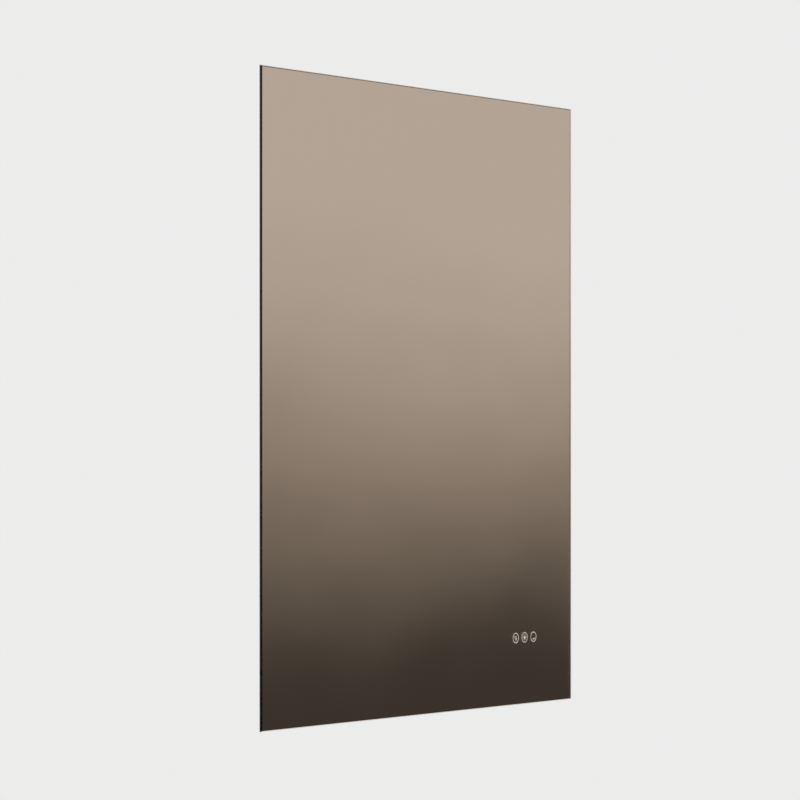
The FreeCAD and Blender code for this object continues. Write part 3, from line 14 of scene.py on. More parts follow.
import bmesh
import bpy
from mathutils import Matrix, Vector

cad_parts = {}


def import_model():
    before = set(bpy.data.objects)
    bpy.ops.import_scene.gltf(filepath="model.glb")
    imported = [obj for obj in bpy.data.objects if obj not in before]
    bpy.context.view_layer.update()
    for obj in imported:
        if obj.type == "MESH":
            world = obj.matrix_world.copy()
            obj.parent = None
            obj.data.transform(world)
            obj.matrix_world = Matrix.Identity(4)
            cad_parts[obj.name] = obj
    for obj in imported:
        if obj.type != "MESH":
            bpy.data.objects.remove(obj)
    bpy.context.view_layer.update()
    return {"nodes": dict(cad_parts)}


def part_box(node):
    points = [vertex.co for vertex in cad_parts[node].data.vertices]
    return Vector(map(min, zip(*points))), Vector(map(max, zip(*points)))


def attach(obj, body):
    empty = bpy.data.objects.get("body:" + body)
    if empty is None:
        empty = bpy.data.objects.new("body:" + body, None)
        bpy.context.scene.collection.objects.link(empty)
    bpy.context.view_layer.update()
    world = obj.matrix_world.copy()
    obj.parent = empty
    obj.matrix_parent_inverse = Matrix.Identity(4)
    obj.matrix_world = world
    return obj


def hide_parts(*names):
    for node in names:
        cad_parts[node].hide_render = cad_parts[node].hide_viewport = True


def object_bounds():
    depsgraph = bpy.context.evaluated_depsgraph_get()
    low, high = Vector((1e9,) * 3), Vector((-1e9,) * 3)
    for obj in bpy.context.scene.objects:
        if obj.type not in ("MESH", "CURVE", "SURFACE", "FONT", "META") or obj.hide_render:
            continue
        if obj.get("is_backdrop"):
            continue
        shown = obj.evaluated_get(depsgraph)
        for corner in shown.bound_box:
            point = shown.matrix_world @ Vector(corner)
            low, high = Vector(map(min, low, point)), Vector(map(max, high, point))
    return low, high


LOG = logging.getLogger("lighted_mirror")
MM = 0.001

Triple = tuple[float, float, float]
Colour = Triple
Place = Triple
Span = tuple[float, float]
Socket = bpy.types.NodeSocket
Feed = Union[float, Colour, Socket]

# a colour Mix node's sockets, by number, because its other kinds have sockets of the same names
MIX_FACTOR, MIX_LOW, MIX_HIGH, MIX_RESULT = 0, 6, 7, 2
# a shader mix's two sockets, which share one name
SHADER_LOW, SHADER_HIGH = 1, 2

# most of a noise lies between these two values, and the details are how many layers it has
NOISE_SPAN: Span = (0.3, 0.7)
FINE_DETAIL = 3.0
SOFT_DETAIL = 1.0

# a drawn grain is scaled by this along its lines, which makes them a hundred times as long as wide
LINE_SHRINK = 0.01
# at this scale a wave's bands stand about one length apart, and the other is how far threads waver
THREAD_SCALE = 0.3
THREAD_WAVER = 0.4

# the grain's share in a finish's patches, and what else all finishes have in common
GRAIN_SHARE = 0.35
LEAST_ROUGHNESS = 0.02
SCATTER_DEPTH = 2 * MM
EDGE_SAMPLES = 4


class Body(Enum):
    """The two bodies that the joint lets slide on each other."""

    WALL_SIDE = "wall_side"
    MIRROR = "mirror"


class Grain(Enum):
    """How the fine detail of a finish is laid out."""

    EVEN = "even"
    DRAWN_ACROSS = "lines along X"
    DRAWN_UP = "lines along Z"
    SPANGLE = "zinc crystals"
    WOVEN = "fine woven film"
    PEEL = "powder coat dimples"
    CELLS = "foam cells"


# ---------------------------------------------------------------- nodes


class Graph:
    """Adds nodes to one tree and joins them."""

    def __init__(self, tree: bpy.types.NodeTree) -> None:
        """Start from an empty tree."""
        self.tree = tree
        tree.nodes.clear()

    def add(self, kind: str, feeds: Optional[dict[str, Feed]] = None, **settings: object) -> bpy.types.Node:
        """Add one node.

        Args:
            kind: The node's type, without its "ShaderNode" prefix.
            feeds: What goes into its sockets, by name: a plain value, or a socket to join.
            settings: Its own properties.

        Returns:
            The new node.
        """
        node = self.tree.nodes.new(f"ShaderNode{kind}")
        for name, value in settings.items():
            setattr(node, name, value)
        for name, value in (feeds or {}).items():
            self.feed(node.inputs[name], value)
        return node

    def feed(self, socket: Socket, value: Feed) -> None:
        """Set a socket to a plain value, or join another socket to it.

        Args:
            socket: The socket that is fed.
            value: A number, a colour, a place, or the socket to join.
        """
        if isinstance(value, bpy.types.NodeSocket):
            self.tree.links.new(value, socket)
        elif isinstance(value, tuple) and len(value) == 3 and socket.type == "RGBA":
            socket.default_value = (*value, 1.0)
        else:
            socket.default_value = value

    def mix(self, factor: Feed, low: Feed, high: Feed) -> Socket:
        """A colour between two others.

        Args:
            factor: How far it lies from the first to the second, held to 0 to 1.
            low: The first colour.
            high: The second colour.

        Returns:
            The mixed colour.
        """
        node = self.add("Mix", data_type="RGBA")
        for index, value in ((MIX_FACTOR, factor), (MIX_LOW, low), (MIX_HIGH, high)):
            self.feed(node.inputs[index], value)
        return node.outputs[MIX_RESULT]

    def ramp(self, rise: Socket, low: Colour, middle: Colour, high: Colour) -> Socket:
        """A colour that runs from one to another by way of a third.

        Args:
            rise: How far it has run, from 0 to 1.
            low: The colour at 0.
            middle: The colour at a half.
            high: The colour at 1.

        Returns:
            The colour at that point.
        """
        doubled = self.math("MULTIPLY", rise, 2.0)
        lower = self.mix(doubled, low, middle)
        return self.mix(self.math("SUBTRACT", doubled, 1.0), lower, high)

    def spread(self, value: Feed, low: Feed, high: Feed, to_low: Feed = 0.0, to_high: Feed = 1.0) -> Socket:
        """A value moved smoothly from one range to another, and kept inside it."""
        feeds = {"Value": value, "From Min": low, "From Max": high, "To Min": to_low, "To Max": to_high}
        return self.add("MapRange", feeds, interpolation_type="SMOOTHSTEP").outputs[0]

    def math(self, operation: str, first: Feed, second: Feed) -> Socket:
        """One sum on two values.

        Args:
            operation: Its name in the Math node.
            first: The first value.
            second: The second value.

        Returns:
            The result.
        """
        node = self.add("Math", operation=operation)
        self.feed(node.inputs[0], first)
        self.feed(node.inputs[1], second)
        return node.outputs[0]

    def noise(self, place: Socket, size: float, detail: float = FINE_DETAIL) -> Socket:
        """Soft noise whose features are about one size across."""
        feeds = {"Vector": place, "Scale": 1 / size, "Detail": detail}
        return self.add("TexNoise", feeds).outputs[0]

    def stretched(self, place: Socket, scale: Triple) -> Socket:
        """A place with each of its axes scaled."""
        return self.add("Mapping", {"Vector": place, "Scale": scale}).outputs[0]

    def mixed_shader(self, factor: Feed, low: Socket, high: Socket) -> Socket:
        """A shader between two others.

        Args:
            factor: How far it lies from the first to the second.
            low: The first shader.
            high: The second shader.

        Returns:
            The mixed shader.
        """
        node = self.add("MixShader", {"Fac": factor})
        self.feed(node.inputs[SHADER_LOW], low)
        self.feed(node.inputs[SHADER_HIGH], high)
        return node.outputs[0]

    def surface(self, shader: Socket) -> None:
        """Make a shader the material's surface."""
        self.add("OutputMaterial", {"Surface": shader})


def start_material(name: str) -> tuple[bpy.types.Material, Graph, Socket]:
    """Start a material with nothing in it.

    Args:
        name: The material's name.

    Returns:
        The material, its graph, and the point that is shaded, in the piece's own axes.
    """
    material = bpy.data.materials.new(name)
    material.use_nodes = True
    graph = Graph(material.node_tree)
    return material, graph, graph.add("TexCoord").outputs["Object"]


# ---------------------------------------------------------------- finishes


@dataclass(frozen=True)
class Finish:
    """A surface: two close tones that drift into each other, its gloss, its fine relief, and where set a
    painted glow.
    """

    name: str
    tone: Colour
    shade: Colour
    roughness: float
    spread: float = 0.06
    metallic: float = 0.0
    grain: Grain = Grain.EVEN
    grain_size: float = 0.4 * MM
    relief: float = 0.01 * MM
    drift: float = 40 * MM
    edge: float = 0.25 * MM
    coat: float = 0.0
    subsurface: float = 0.0
    # a painted glow: the piece gives out its own tone as faint light, though it is no lamp
    painted_glow: float = 0.0

    def height(self, graph: Graph, place: Socket) -> Socket:
        """The relief of this finish's grain.

        Args:
            graph: The material's graph.
            place: The place on the piece.

        Returns:
            The height there, from 0 to 1.
        """
        if self.grain is Grain.DRAWN_ACROSS:
            return graph.noise(graph.stretched(place, (LINE_SHRINK, 1.0, 1.0)), self.grain_size)
        if self.grain is Grain.DRAWN_UP:
            return graph.noise(graph.stretched(place, (1.0, 1.0, LINE_SHRINK)), self.grain_size)
        if self.grain is Grain.SPANGLE:
            tints = self.cells(graph, place).outputs["Color"]
            return graph.add("SeparateColor", {"Color": tints}).outputs[0]
        if self.grain is Grain.WOVEN:
            across = self.bands(graph, place, "X")
            return graph.math("MULTIPLY", across, self.bands(graph, place, "Z"))
        if self.grain is Grain.CELLS:
            return self.cells(graph, place).outputs["Distance"]
        return graph.noise(place, self.grain_size, SOFT_DETAIL if self.grain is Grain.PEEL else FINE_DETAIL)

    def cells(self, graph: Graph, place: Socket) -> bpy.types.Node:
        """Close-packed cells of the grain's size."""
        return graph.add("TexVoronoi", {"Vector": place, "Scale": 1 / self.grain_size})

    def bands(self, graph: Graph, place: Socket, axis: str) -> Socket:
        """Even threads across one axis."""
        feeds = {"Vector": place, "Scale": THREAD_SCALE / self.grain_size, "Distortion": THREAD_WAVER}
        return graph.add("TexWave", feeds, bands_direction=axis).outputs["Fac"]

    def build(self) -> bpy.types.Material:
        """Make the material.

        Returns:
            A material with this finish, the same one each time.
        """
        known = bpy.data.materials.get(self.name)
        if known:
            return known
        material, graph, place = start_material(self.name)
        height = self.height(graph, place)
        cloud = graph.noise(place, self.drift)
        patch = graph.mix(GRAIN_SHARE, cloud, height)
        colour = graph.mix(graph.spread(patch, *NOISE_SPAN), self.shade, self.tone)
        low, high = self.roughness - self.spread, self.roughness + self.spread
        gloss = graph.spread(patch, *NOISE_SPAN, high, max(low, LEAST_ROUGHNESS))
        rounded = graph.add("Bevel", {"Radius": self.edge}, samples=EDGE_SAMPLES).outputs[0]
        bump = graph.add(
            "Bump", {"Height": height, "Distance": self.relief, "Strength": 1.0, "Normal": rounded}
        )
        feeds: dict[str, Feed] = {
            "Base Color": colour,
            "Roughness": gloss,
            "Normal": bump.outputs[0],
            "Metallic": self.metallic,
            "Coat Weight": self.coat,
            "Subsurface Weight": self.subsurface,
            "Subsurface Scale": SCATTER_DEPTH,
        }
        # painted glow: the tone is given out as light, standing in for light that no lamp gives
        if self.painted_glow:
            feeds["Emission Color"] = self.tone
            feeds["Emission Strength"] = self.painted_glow
        graph.surface(graph.add("BsdfPrincipled", feeds).outputs[0])
        return material


@dataclass(frozen=True)
class ClearGlass:
    """Float glass: sharp all through, with the faintest drift in its tint."""

    name: str = "clear float glass"
    tint: Colour = (0.975, 0.99, 0.98)
    deep_tint: Colour = (0.965, 0.985, 0.975)
    index: float = 1.52
    drift: float = 250 * MM

    def build(self) -> bpy.types.Material:
        """Make the glass, which lets lamps through to what lies behind it.

        Returns:
            The material.
        """
        material, graph, place = start_material(self.name)
        tint = graph.mix(graph.noise(place, self.drift), self.tint, self.deep_tint)
        glass = graph.add(
            "BsdfPrincipled",
            {"Base Color": tint, "Roughness": 0.0, "IOR": self.index, "Transmission Weight": 1.0},
        )
        through = graph.add("BsdfTransparent", {"Color": tint})
        shadow = graph.add("LightPath").outputs["Is Shadow Ray"]
        graph.surface(graph.mixed_shader(shadow, glass.outputs[0], through.outputs[0]))
        return material


@dataclass(frozen=True)
class Silvering:
    """The silver behind the glass, a sharp mirror with a barely uneven tone."""

    name: str = "mirror silver"
    tone: Colour = (0.945, 0.935, 0.92)
    shade: Colour = (0.93, 0.92, 0.9)
    drift: float = 180 * MM

    def build(self) -> bpy.types.Material:
        """Make the silver.

        Returns:
            The material.
        """
        material, graph, place = start_material(self.name)
        tone = graph.mix(graph.noise(place, self.drift), self.tone, self.shade)
        shader = graph.add("BsdfPrincipled", {"Base Color": tone, "Metallic": 1.0, "Roughness": 0.0})
        graph.surface(shader.outputs[0])
        return material


ANODISED_ACROSS = Finish(
    "anodised bar, drawn across", (0.79, 0.79, 0.78), (0.66, 0.66, 0.66), 0.34,
    metallic=1.0, grain=Grain.DRAWN_ACROSS, grain_size=0.5 * MM, relief=0.006 * MM,
)
ANODISED_UP = Finish(
    "anodised bar, drawn up", (0.79, 0.79, 0.78), (0.66, 0.66, 0.66), 0.34,
    metallic=1.0, grain=Grain.DRAWN_UP, grain_size=0.5 * MM, relief=0.006 * MM,
)
MILL_ALUMINIUM = Finish(
    "mill finish aluminium", (0.74, 0.74, 0.74), (0.56, 0.56, 0.57), 0.3,
    metallic=1.0, grain=Grain.DRAWN_ACROSS, grain_size=0.8 * MM, relief=0.012 * MM, drift=70 * MM,
)
GALVANISED = Finish(
    "galvanised sheet", (0.68, 0.69, 0.7), (0.5, 0.51, 0.53), 0.38,
    metallic=1.0, grain=Grain.SPANGLE, grain_size=9 * MM, relief=0.004 * MM, spread=0.1,
)
ZINC_SCREW = Finish(
    "zinc plated steel", (0.72, 0.71, 0.67), (0.52, 0.51, 0.49), 0.28,
    metallic=1.0, grain_size=0.3 * MM, relief=0.004 * MM, drift=3 * MM, edge=0.15 * MM,
)
WHITE_POWDER = Finish(
    "white powder coat", (0.8, 0.8, 0.785), (0.74, 0.74, 0.725), 0.42,
    grain=Grain.PEEL, grain_size=1.4 * MM, relief=0.02 * MM, edge=0.5 * MM,
)
WHITE_NYLON = Finish(
    "white nylon", (0.79, 0.785, 0.76), (0.73, 0.725, 0.7), 0.4,
    grain_size=0.25 * MM, relief=0.006 * MM, subsurface=0.1,
)
GREY_NYLON = Finish(
    "grey nylon", (0.27, 0.275, 0.28), (0.22, 0.225, 0.23), 0.42,
    grain_size=0.3 * MM, relief=0.008 * MM, drift=12 * MM,
)
BLACK_ABS = Finish(
    "black moulded housing", (0.028, 0.028, 0.03), (0.02, 0.02, 0.021), 0.46,
    grain_size=0.5 * MM, relief=0.02 * MM, drift=25 * MM,
)
BLACK_RUBBER = Finish(
    "black rubber", (0.022, 0.022, 0.022), (0.032, 0.031, 0.03), 0.66,
    grain_size=0.4 * MM, relief=0.01 * MM, drift=8 * MM,
)
GREY_RUBBER = Finish(
    "grey rubber", (0.16, 0.16, 0.16), (0.12, 0.12, 0.12), 0.7,
    grain_size=0.5 * MM, relief=0.015 * MM, drift=8 * MM,
)
FOAM = Finish(
    "black foam tape", (0.03, 0.03, 0.03), (0.05, 0.05, 0.05), 0.85,
    grain=Grain.CELLS, grain_size=0.7 * MM, relief=0.08 * MM, drift=20 * MM,
)
SAFETY_FILM = Finish(
    "safety film", (0.63, 0.645, 0.65), (0.57, 0.585, 0.595), 0.38, spread=0.1,
    grain=Grain.WOVEN, grain_size=1.6 * MM, relief=0.015 * MM, drift=130 * MM, coat=0.15,
)
BACKING_PAINT = Finish(
    "mirror backing paint", (0.3, 0.34, 0.33), (0.26, 0.3, 0.29), 0.5,
    grain_size=0.6 * MM, relief=0.006 * MM, drift=60 * MM,
)
HEATER_FILM = Finish(
    "heating pad film", (0.83, 0.8, 0.72), (0.77, 0.735, 0.65), 0.34,
    grain=Grain.PEEL, grain_size=6 * MM, relief=0.03 * MM, drift=60 * MM, coat=0.3,
)
HEATER_TRACK = Finish(
    "printed heating track", (0.5, 0.49, 0.47), (0.4, 0.39, 0.375), 0.42,
    metallic=0.6, grain_size=0.5 * MM, relief=0.004 * MM, drift=15 * MM,
)
OPAL = Finish(
    "opal cover", (0.86, 0.855, 0.83), (0.82, 0.815, 0.79), 0.36,
    grain_size=0.4 * MM, relief=0.004 * MM, drift=60 * MM, subsurface=0.35,
)
# the icon plate's faint emission is a painted glow that brightens the icons; no lamp lies behind them
GLOWING_ICON_OPAL = Finish(
    "opal icon plate with painted glow", (0.88, 0.85, 0.78), (0.85, 0.82, 0.75), 0.5,
    grain_size=0.4 * MM, relief=0.002 * MM, drift=30 * MM, painted_glow=0.3,
)
STRIP_RESIST = Finish(
    "white solder resist", (0.82, 0.82, 0.8), (0.76, 0.76, 0.74), 0.4,
    grain_size=0.5 * MM, relief=0.006 * MM, drift=10 * MM,
)
PHOSPHOR = Finish(
    "light chip", (0.86, 0.72, 0.28), (0.8, 0.64, 0.2), 0.4,
    grain_size=0.3 * MM, relief=0.006 * MM, drift=2 * MM,
)
GREEN_BOARD = Finish(
    "green board", (0.03, 0.2, 0.09), (0.02, 0.14, 0.065), 0.32,
    grain_size=1.2 * MM, relief=0.01 * MM, drift=7 * MM, coat=0.4,
)
BLACK_PARTS = Finish(
    "moulded components", (0.035, 0.035, 0.038), (0.05, 0.05, 0.052), 0.42,
    grain_size=0.3 * MM, relief=0.008 * MM, drift=5 * MM,
)
WHITE_SHEATH = Finish(
    "white sheath", (0.78, 0.775, 0.755), (0.71, 0.705, 0.685), 0.38,
    grain_size=1.2 * MM, relief=0.012 * MM, drift=30 * MM, coat=0.1,
)


# ---------------------------------------------------------------- shared tools


@dataclass
class Assembly:
    """One sub-assembly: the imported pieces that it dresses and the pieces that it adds."""

    nodes: dict[str, bpy.types.Object]
    body: Body = Body.MIRROR

    def dress(self, names: Iterable[str], finish: Finish) -> None:
        """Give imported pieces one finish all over.

        Args:
            names: The pieces' names.
            finish: Their finish.
        """
        for name in names:
            self.set_materials(self.nodes[name], [finish.build()])
            LOG.info("%s: %s", name, finish.name)

    def set_materials(self, piece: bpy.types.Object, materials: list[bpy.types.Material]) -> None:
        """Put materials on a piece in place of those that it came with.

        Args:
            piece: The piece.
            materials: Its new materials, in the order of its faces' material numbers.
        """
        piece.data.materials.clear()
        for material in materials:
            piece.data.materials.append(material)

    def add_piece(self, name: str, mesh: bpy.types.Mesh, slot: str) -> bpy.types.Object:
        """Put a new mesh in the scene and let it ride on this assembly's body.

        Args:
            name: The piece's name.
            mesh: Its mesh, in place.
            slot: The record's material slot that it belongs to. It is not used.

        Returns:
            The new object.
        """
        piece = bpy.data.objects.new(name, mesh)
        bpy.context.scene.collection.objects.link(piece)
        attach(piece, self.body.value)
        LOG.info("%s: added, %d faces", name, len(mesh.polygons))
        return piece


def faces_by_side(mesh: bpy.types.Mesh, least: float = 0.99) -> dict[str, list[bpy.types.MeshPolygon]]:
    """Sort a flat piece's faces into its front, its back and its edges.

    Args:
        mesh: The mesh of a piece that lies flat, as the pane does.
        least: How squarely a front or back face looks along Y.

    Returns:
        The faces under "front", "back" and "edge".
    """
    sides: dict[str, list[bpy.types.MeshPolygon]] = {"front": [], "back": [], "edge": []}
    for face in mesh.polygons:
        facing = face.normal.y
        side = "front" if facing < -least else "back" if facing > least else "edge"
        sides[side].append(face)
    return sides


def rounded_route(corners: list[Vector], radius: float, steps: int = 6) -> list[Vector]:
    """A route with each inner corner turned into a short arc.

    Args:
        corners: The route's corners, which are square and lie in one plane.
        radius: The arcs' radius.
        steps: Parts that each arc is cut into.

    Returns:
        The points of the rounded route.
    """
    route = [corners[0]]
    for before, corner, after in zip(corners, corners[1:], corners[2:]):
        back, on = (before - corner).normalized(), (after - corner).normalized()
        start = corner + back * radius
        centre = start + on * radius
        for step in range(steps + 1):
            route.append(centre + (-on).slerp(-back, step / steps) * radius)
    route.append(corners[-1])
    return route


def ribbon(name: str, route: list[Vector], width: float, thick: float) -> bpy.types.Mesh:
    """A flat band that follows a route on a surface and stands a little proud of it.

    Args:
        name: The mesh's name.
        route: The points of its middle line, on the surface.
        width: The band's width.
        thick: How far it stands out towards +Y.

    Returns:
        A closed mesh.
    """
    shell = bmesh.new()
    sections = []
    for index, here in enumerate(route):
        before, after = route[max(index - 1, 0)], route[min(index + 1, len(route) - 1)]
        along = (after - before).normalized()
        aside = Vector((along.z, 0, -along.x)) * (width / 2)
        out = Vector((0, thick, 0))
        corners = (here - aside, here + aside, here + aside + out, here - aside + out)
        sections.append([shell.verts.new(corner) for corner in corners])
    for one, two in zip(sections, sections[1:]):
        for low in range(len(one)):
            high = (low + 1) % len(one)
            shell.faces.new((one[low], one[high], two[high], two[low]))
    shell.faces.new(sections[0][::-1])
    shell.faces.new(sections[-1])
    bmesh.ops.recalc_face_normals(shell, faces=shell.faces)
    mesh = bpy.data.meshes.new(name)
    shell.to_mesh(mesh)
    shell.free()
    return mesh


# ---------------------------------------------------------------- pane


@dataclass
class MirrorPane(Assembly):
    """The glass with its polished edges, the silver behind it, the film and the icon plate."""

    silver_bite: float = 0.03 * MM

    def build(self) -> None:
        """Dress the pane from the front to the back."""
        self.set_materials(self.nodes["glass_pane"], [ClearGlass().build()])
        LOG.info("glass_pane: clear float glass")
        self.silver_sheet()
        self.dress(["safety_film"], SAFETY_FILM)
        self.dress(["icon_diffuser"], GLOWING_ICON_OPAL)

    def silver_sheet(self) -> None:
        """The silver, whose front is sunk into the glass by a hair so that no two faces meet.

        The icons stay cut out of it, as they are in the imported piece.
        """
        mesh = self.nodes["silver_coating"].data.copy()
        mesh.name = "silver_sheet"
        front = min(corner.co.y for corner in mesh.vertices)
        for corner in mesh.vertices:
            if corner.co.y < front + self.silver_bite:
                corner.co.y -= self.silver_bite
        mesh.update()
        mesh.materials.clear()
        mesh.materials.append(Silvering().build())
        mesh.materials.append(BACKING_PAINT.build())
        for side, faces in faces_by_side(mesh).items():
            for face in faces:
                face.material_index = 0 if side == "front" else 1
        sheet = self.add_piece("silver_sheet", mesh, "silver")
        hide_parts("silver_coating")


@dataclass
class HeatingPad(Assembly):
    """The pad that keeps the pane clear of mist, with the track that is printed on it."""

    track_width: float = 6 * MM
    track_thick: float = 0.05 * MM
    track_pitch: float = 16 * MM
    side_margin: float = 15 * MM
    foot_margin: float = 18 * MM
    return_room: float = 20 * MM
    first_drop: float = 9 * MM
    contact_spacing: float = 10 * MM
    turn: float = 4 * MM

    def build(self) -> None:
        """Dress the pad and its terminal, and print the track."""
        self.dress(["demister_pad"], HEATER_FILM)
        self.dress(["demister_terminal"], WHITE_NYLON)
        mesh = ribbon("heater_track", self.route(), self.track_width, self.track_thick)
        mesh.materials.append(HEATER_TRACK.build())
        self.add_piece("heater_track", mesh, "heating_foil")

    def route(self) -> list[Vector]:
        """The track's middle line: from one contact, down the pad in rows, and back to the other.

        Returns:
            Its points, on the back of the pad.
        """
        low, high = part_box("demister_pad")
        contact_low, contact_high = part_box("demister_terminal")
        off = high.y
        middle, contact = (contact_low.x + contact_high.x) / 2, contact_low.z
        left, right = low.x + self.side_margin, high.x - self.side_margin
        inner = right - self.return_room
        start, end = middle - self.contact_spacing / 2, middle + self.contact_spacing / 2
        first_row = contact - self.first_drop
        corners = [(start, contact), (start, first_row), (left, first_row)]
        row = first_row
        at_left = True
        while row - 2 * self.track_pitch > low.z + self.foot_margin:
            row -= self.track_pitch
            corners.append((left if at_left else inner, row))
            corners.append((inner if at_left else left, row))
            at_left = not at_left
        row -= self.track_pitch
        corners.append((left if at_left else inner, row))
        corners += [(right, row), (right, first_row), (end, first_row), (end, contact)]
        return rounded_route([Vector((x, off, z)) for x, z in corners], self.turn)


# ---------------------------------------------------------------- frame and light


@dataclass
class LightFrame(Assembly):
    """The inset frame of channel bars, with the light strips inside its opal covers."""

    sides_across: tuple[str, ...] = ("top", "bottom")
    sides_up: tuple[str, ...] = ("left", "right")

    def build(self) -> None:
        """Dress the bars, their corner keys and screws, the tape, the strips and the covers."""
        self.dress([f"frame_{side}" for side in self.sides_across], ANODISED_ACROSS)
        self.dress([f"frame_{side}" for side in self.sides_up], ANODISED_UP)
        self.dress(["corner_keys"], MILL_ALUMINIUM)
        self.dress(["corner_screws"], ZINC_SCREW)
        self.dress(["bonding_tape"], FOAM)
        sides = self.sides_across + self.sides_up
        self.dress([f"led_strip_{side}" for side in sides], STRIP_RESIST)
        self.dress(["led_chips"], PHOSPHOR)
        self.dress([f"diffuser_{side}" for side in sides], OPAL)


@dataclass
class Hanging(Assembly):
    """What the mirror hangs by and rests on: the hanger rail and the bumpers."""

    def build(self) -> None:
        """Dress the hanger rail, the bumpers and their screws."""
        self.dress(["hanger_rail"], MILL_ALUMINIUM)
        self.dress(["hanger_screws", "bumper_screws"], ZINC_SCREW)
        self.dress(["wall_bumpers"], GREY_RUBBER)


@dataclass
class WallCleat(Assembly):
    """The cleat that the mirror hooks on, which stays when the mirror is lifted off."""

    body: Body = Body.WALL_SIDE

    def build(self) -> None:
        """Dress the cleat."""
        self.dress(["wall_cleat"], MILL_ALUMINIUM)


# ---------------------------------------------------------------- electrics


@dataclass
class PowerUnit(Assembly):
    """The rail across the frame and the box on it, with all that the box holds."""

    def build(self) -> None:
        """Dress the rail, the box, its contents and the supply gland."""
        self.dress(["gear_rail", "rail_brackets"], GALVANISED)
        self.dress(["rail_rivets", "bracket_screws", "box_rivets", "cover_screws"], ZINC_SCREW)
        self.dress(["power_box", "power_box_cover"], WHITE_POWDER)
        self.dress(["led_driver", "board_standoffs", "terminal_block"], WHITE_NYLON)
        self.dress(["terminal_screws"], ZINC_SCREW)
        self.dress(["control_board"], GREEN_BOARD)
        self.dress(["board_components"], BLACK_PARTS)
        self.dress(["cable_gland", "gland_nut", "gland_lock_nut"], GREY_NYLON)
        self.dress(["gland_seal"], BLACK_RUBBER)


@dataclass
class TouchUnit(Assembly):
    """The box behind the icons, with its board and the pads that feel a finger."""

    def build(self) -> None:
        """Dress the housing, its cover and screws, the board and the pads."""
        self.dress(["touch_housing", "touch_cover"], BLACK_ABS)
        self.dress(["touch_screws"], ZINC_SCREW)
        self.dress(["touch_board"], GREEN_BOARD)
        self.dress(["sense_pads"], FOAM)


@dataclass
class Wiring(Assembly):
    """The leads inside the mirror and what holds them."""

    def build(self) -> None:
        """Dress the leads, the grommets and the clips."""
        self.dress(["light_lead", "demister_lead", "touch_lead"], WHITE_SHEATH)
        self.dress(["grommets"], BLACK_RUBBER)
        self.dress(["wire_clips"], WHITE_NYLON)


# ---------------------------------------------------------------- studio


@dataclass(frozen=True)
class Lamp:
    """A soft square lamp that points at the mirror."""

    name: str
    place: Place
    power: float
    size: float = 2.4
    colour: Colour = (1.0, 0.985, 0.96)

    def light(self, target: Vector) -> None:
        """Put the lamp in the scene.

        Args:
            target: The point that it shines at.
        """
        data = bpy.data.lights.new(self.name, "AREA")
        data.energy, data.size, data.color = self.power, self.size, self.colour
        lamp = bpy.data.objects.new(self.name, data)
        lamp.location = self.place
        lamp.rotation_euler = (target - Vector(self.place)).to_track_quat("-Z", "Y").to_euler()
        lamp.visible_camera = False
        lamp.visible_transmission = False
        bpy.context.scene.collection.objects.link(lamp)


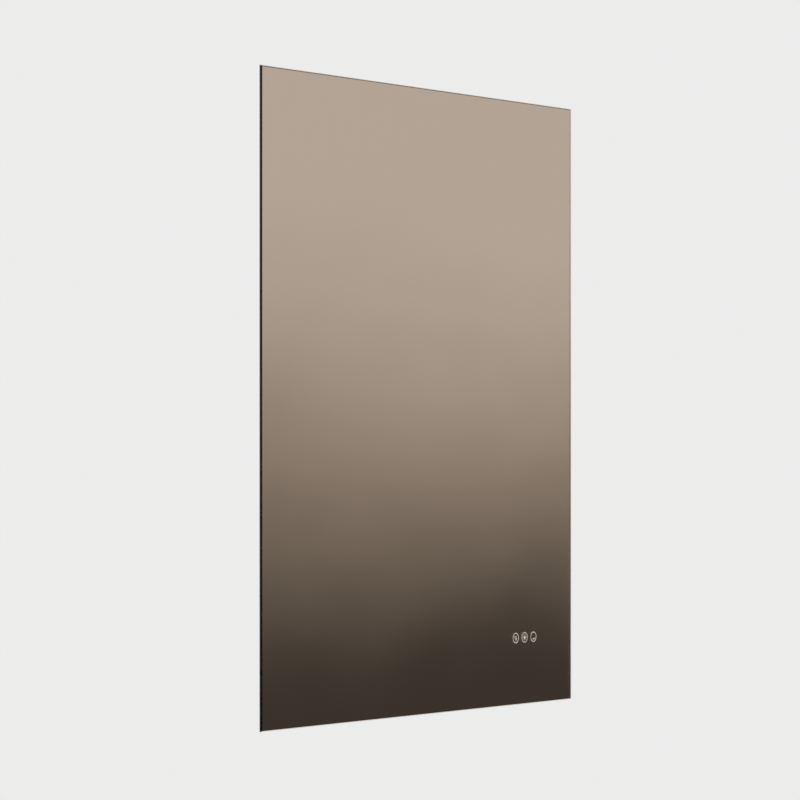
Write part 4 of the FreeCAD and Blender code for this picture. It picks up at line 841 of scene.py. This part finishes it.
@dataclass
class Studio:
    """The camera, the pale floor and background, the lamps, and the tones that the mirror shows.

    The camera's turn is in degrees, its lens and sensor are in millimetres, and its shift is a share
    of the picture. A level or side is a part of the line of sight's direction, whose length is 1.
    """

    camera_place: Place = (-3.9921, -2.9598, -0.4205)
    camera_turn: float = 53.33
    lens: float = 152.56
    sensor: float = 36.0
    horizon_shift: float = 0.0587
    farthest: float = 200.0

    floor_drop: float = 1.0
    floor_radius: float = 1.9
    floor_fade: float = 0.8
    floor_sides: int = 96
    floor_drift: float = 0.7
    floor_shade: float = 0.98
    floor_roughness: float = 0.8

    pale: Colour = (0.84, 0.84, 0.835)
    pale_low: Colour = (0.52, 0.52, 0.525)
    pale_level: Span = (-0.5, 0.4)
    plain_light: Colour = (0.47, 0.47, 0.48)

    shown_top: Colour = (0.495, 0.4, 0.334)
    shown_middle: Colour = (0.273, 0.211, 0.163)
    shown_foot: Colour = (0.046, 0.034, 0.0265)
    shown_above: Colour = (0.72, 0.66, 0.6)
    shown_below: Colour = (0.43, 0.38, 0.32)
    shown_side: Span = (0.775, 0.828)
    foot_level: Span = (-0.083, -0.066)
    top_level: Span = (0.087, 0.062)
    above_level: Span = (0.15, 0.7)
    below_level: Span = (-0.12, -0.6)
    ahead: Span = (0.1, -0.15)
    cloud: float = 0.008
    cloud_size: float = 0.09

    lamps: tuple[Lamp, ...] = field(
        default_factory=lambda: (
            Lamp("key", (-2.6, -3.6, 2.6), 110.0),
            Lamp("fill", (3.2, -3.0, 1.9), 55.0),
            Lamp("rear key", (-2.4, 2.9, 2.4), 78.0, 1.8),
            Lamp("rear fill", (3.0, 2.8, 0.2), 17.0),
        )
    )

    def build(self) -> None:
        """Set up everything that isn't part of the mirror."""
        self.camera()
        self.floor()
        self.world()
        low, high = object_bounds()
        for lamp in self.lamps:
            lamp.light((Vector(low) + Vector(high)) / 2)
        settings = bpy.context.scene.view_settings
        settings.view_transform = "Standard"

    def camera(self) -> None:
        """The camera: level, left of the mirror and a little below its middle."""
        data = bpy.data.cameras.new("camera")
        data.lens, data.sensor_width, data.shift_y = self.lens, self.sensor, self.horizon_shift
        data.clip_end = self.farthest
        camera = bpy.data.objects.new("camera", data)
        camera.location = self.camera_place
        camera.rotation_euler = (math.radians(90), 0, math.radians(-self.camera_turn))
        bpy.context.scene.collection.objects.link(camera)
        bpy.context.scene.camera = camera

    def floor(self) -> None:
        """A pale round floor below the mirror, whose rim fades into the background."""
        shell = bmesh.new()
        bmesh.ops.create_circle(
            shell, cap_ends=True, segments=self.floor_sides, radius=self.floor_radius
        )
        mesh = bpy.data.meshes.new("floor")
        shell.to_mesh(mesh)
        shell.free()
        mesh.materials.append(self.floor_material())
        floor = bpy.data.objects.new("floor", mesh)
        low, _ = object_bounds()
        floor.location = (0, 0, low[2] - self.floor_drop)
        bpy.context.scene.collection.objects.link(floor)
        floor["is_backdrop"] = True

    def floor_material(self) -> bpy.types.Material:
        """The floor's own finish, which clears towards its rim.

        Returns:
            The material.
        """
        material, graph, place = start_material("pale floor")
        deeper = tuple(self.floor_shade * part for part in self.pale)
        tone = graph.mix(graph.noise(place, self.floor_drift), self.pale, deeper)
        shader = graph.add("BsdfPrincipled", {"Base Color": tone, "Roughness": self.floor_roughness})
        away = graph.add("VectorMath", {"Vector": place}, operation="LENGTH").outputs["Value"]
        fade = graph.spread(away, self.floor_fade, self.floor_radius)
        clear = graph.add("BsdfTransparent")
        graph.surface(graph.mixed_shader(fade, shader.outputs[0], clear.outputs[0]))
        return material

    def world(self) -> None:
        """A pale background, plain soft light, and the tones that sharp surfaces show."""
        world = bpy.data.worlds.new("studio")
        bpy.context.scene.world = world
        world.use_nodes = True
        graph = Graph(world.node_tree)
        towards = graph.add("TexCoord").outputs["Generated"]
        parts = graph.add("SeparateXYZ", {"Vector": towards}).outputs
        shown = self.shown(graph, towards, parts)
        behind = graph.mix(graph.spread(parts["Z"], *self.pale_level), self.pale_low, self.pale)
        seen = graph.mix(graph.spread(parts["Y"], *self.ahead), behind, shown)
        path = graph.add("LightPath").outputs
        sharp = graph.math("MAXIMUM", path["Is Glossy Ray"], path["Is Transmission Ray"])
        colour = graph.mix(sharp, self.plain_light, seen)
        colour = graph.mix(path["Is Camera Ray"], colour, self.pale)
        sky = graph.add("Background", {"Color": colour, "Strength": 1.0})
        graph.add("OutputWorld", {"Surface": sky.outputs[0]})

    def shown(self, graph: Graph, towards: Socket, parts: bpy.types.bpy_prop_collection) -> Socket:
        """The tones in front of the mirror, dark below and taupe above, set by direction alone.

        Args:
            graph: The world's graph.
            towards: The direction of the line of sight.
            parts: Its parts along X, Y and Z.

        Returns:
            The tone in that direction.
        """
        foot = graph.spread(parts["X"], *self.shown_side, *self.foot_level)
        top = graph.spread(parts["X"], *self.shown_side, *self.top_level)
        clouds = graph.spread(graph.noise(towards, self.cloud_size), *NOISE_SPAN, -self.cloud, self.cloud)
        rise = graph.spread(graph.math("ADD", parts["Z"], clouds), foot, top)
        tone = graph.ramp(rise, self.shown_foot, self.shown_middle, self.shown_top)
        tone = graph.mix(graph.spread(parts["Z"], *self.above_level), tone, self.shown_above)
        return graph.mix(graph.spread(parts["Z"], *self.below_level), tone, self.shown_below)


def main() -> None:
    """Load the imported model, set the studio, and dress the mirror."""
    logging.basicConfig(level=logging.INFO, format="%(message)s")
    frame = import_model()
    Studio().build()
    for assembly in (
        MirrorPane, HeatingPad, LightFrame, Hanging, WallCleat, PowerUnit, TouchUnit, Wiring
    ):
        assembly(frame["nodes"]).build()


if __name__ == "__main__":
    main()
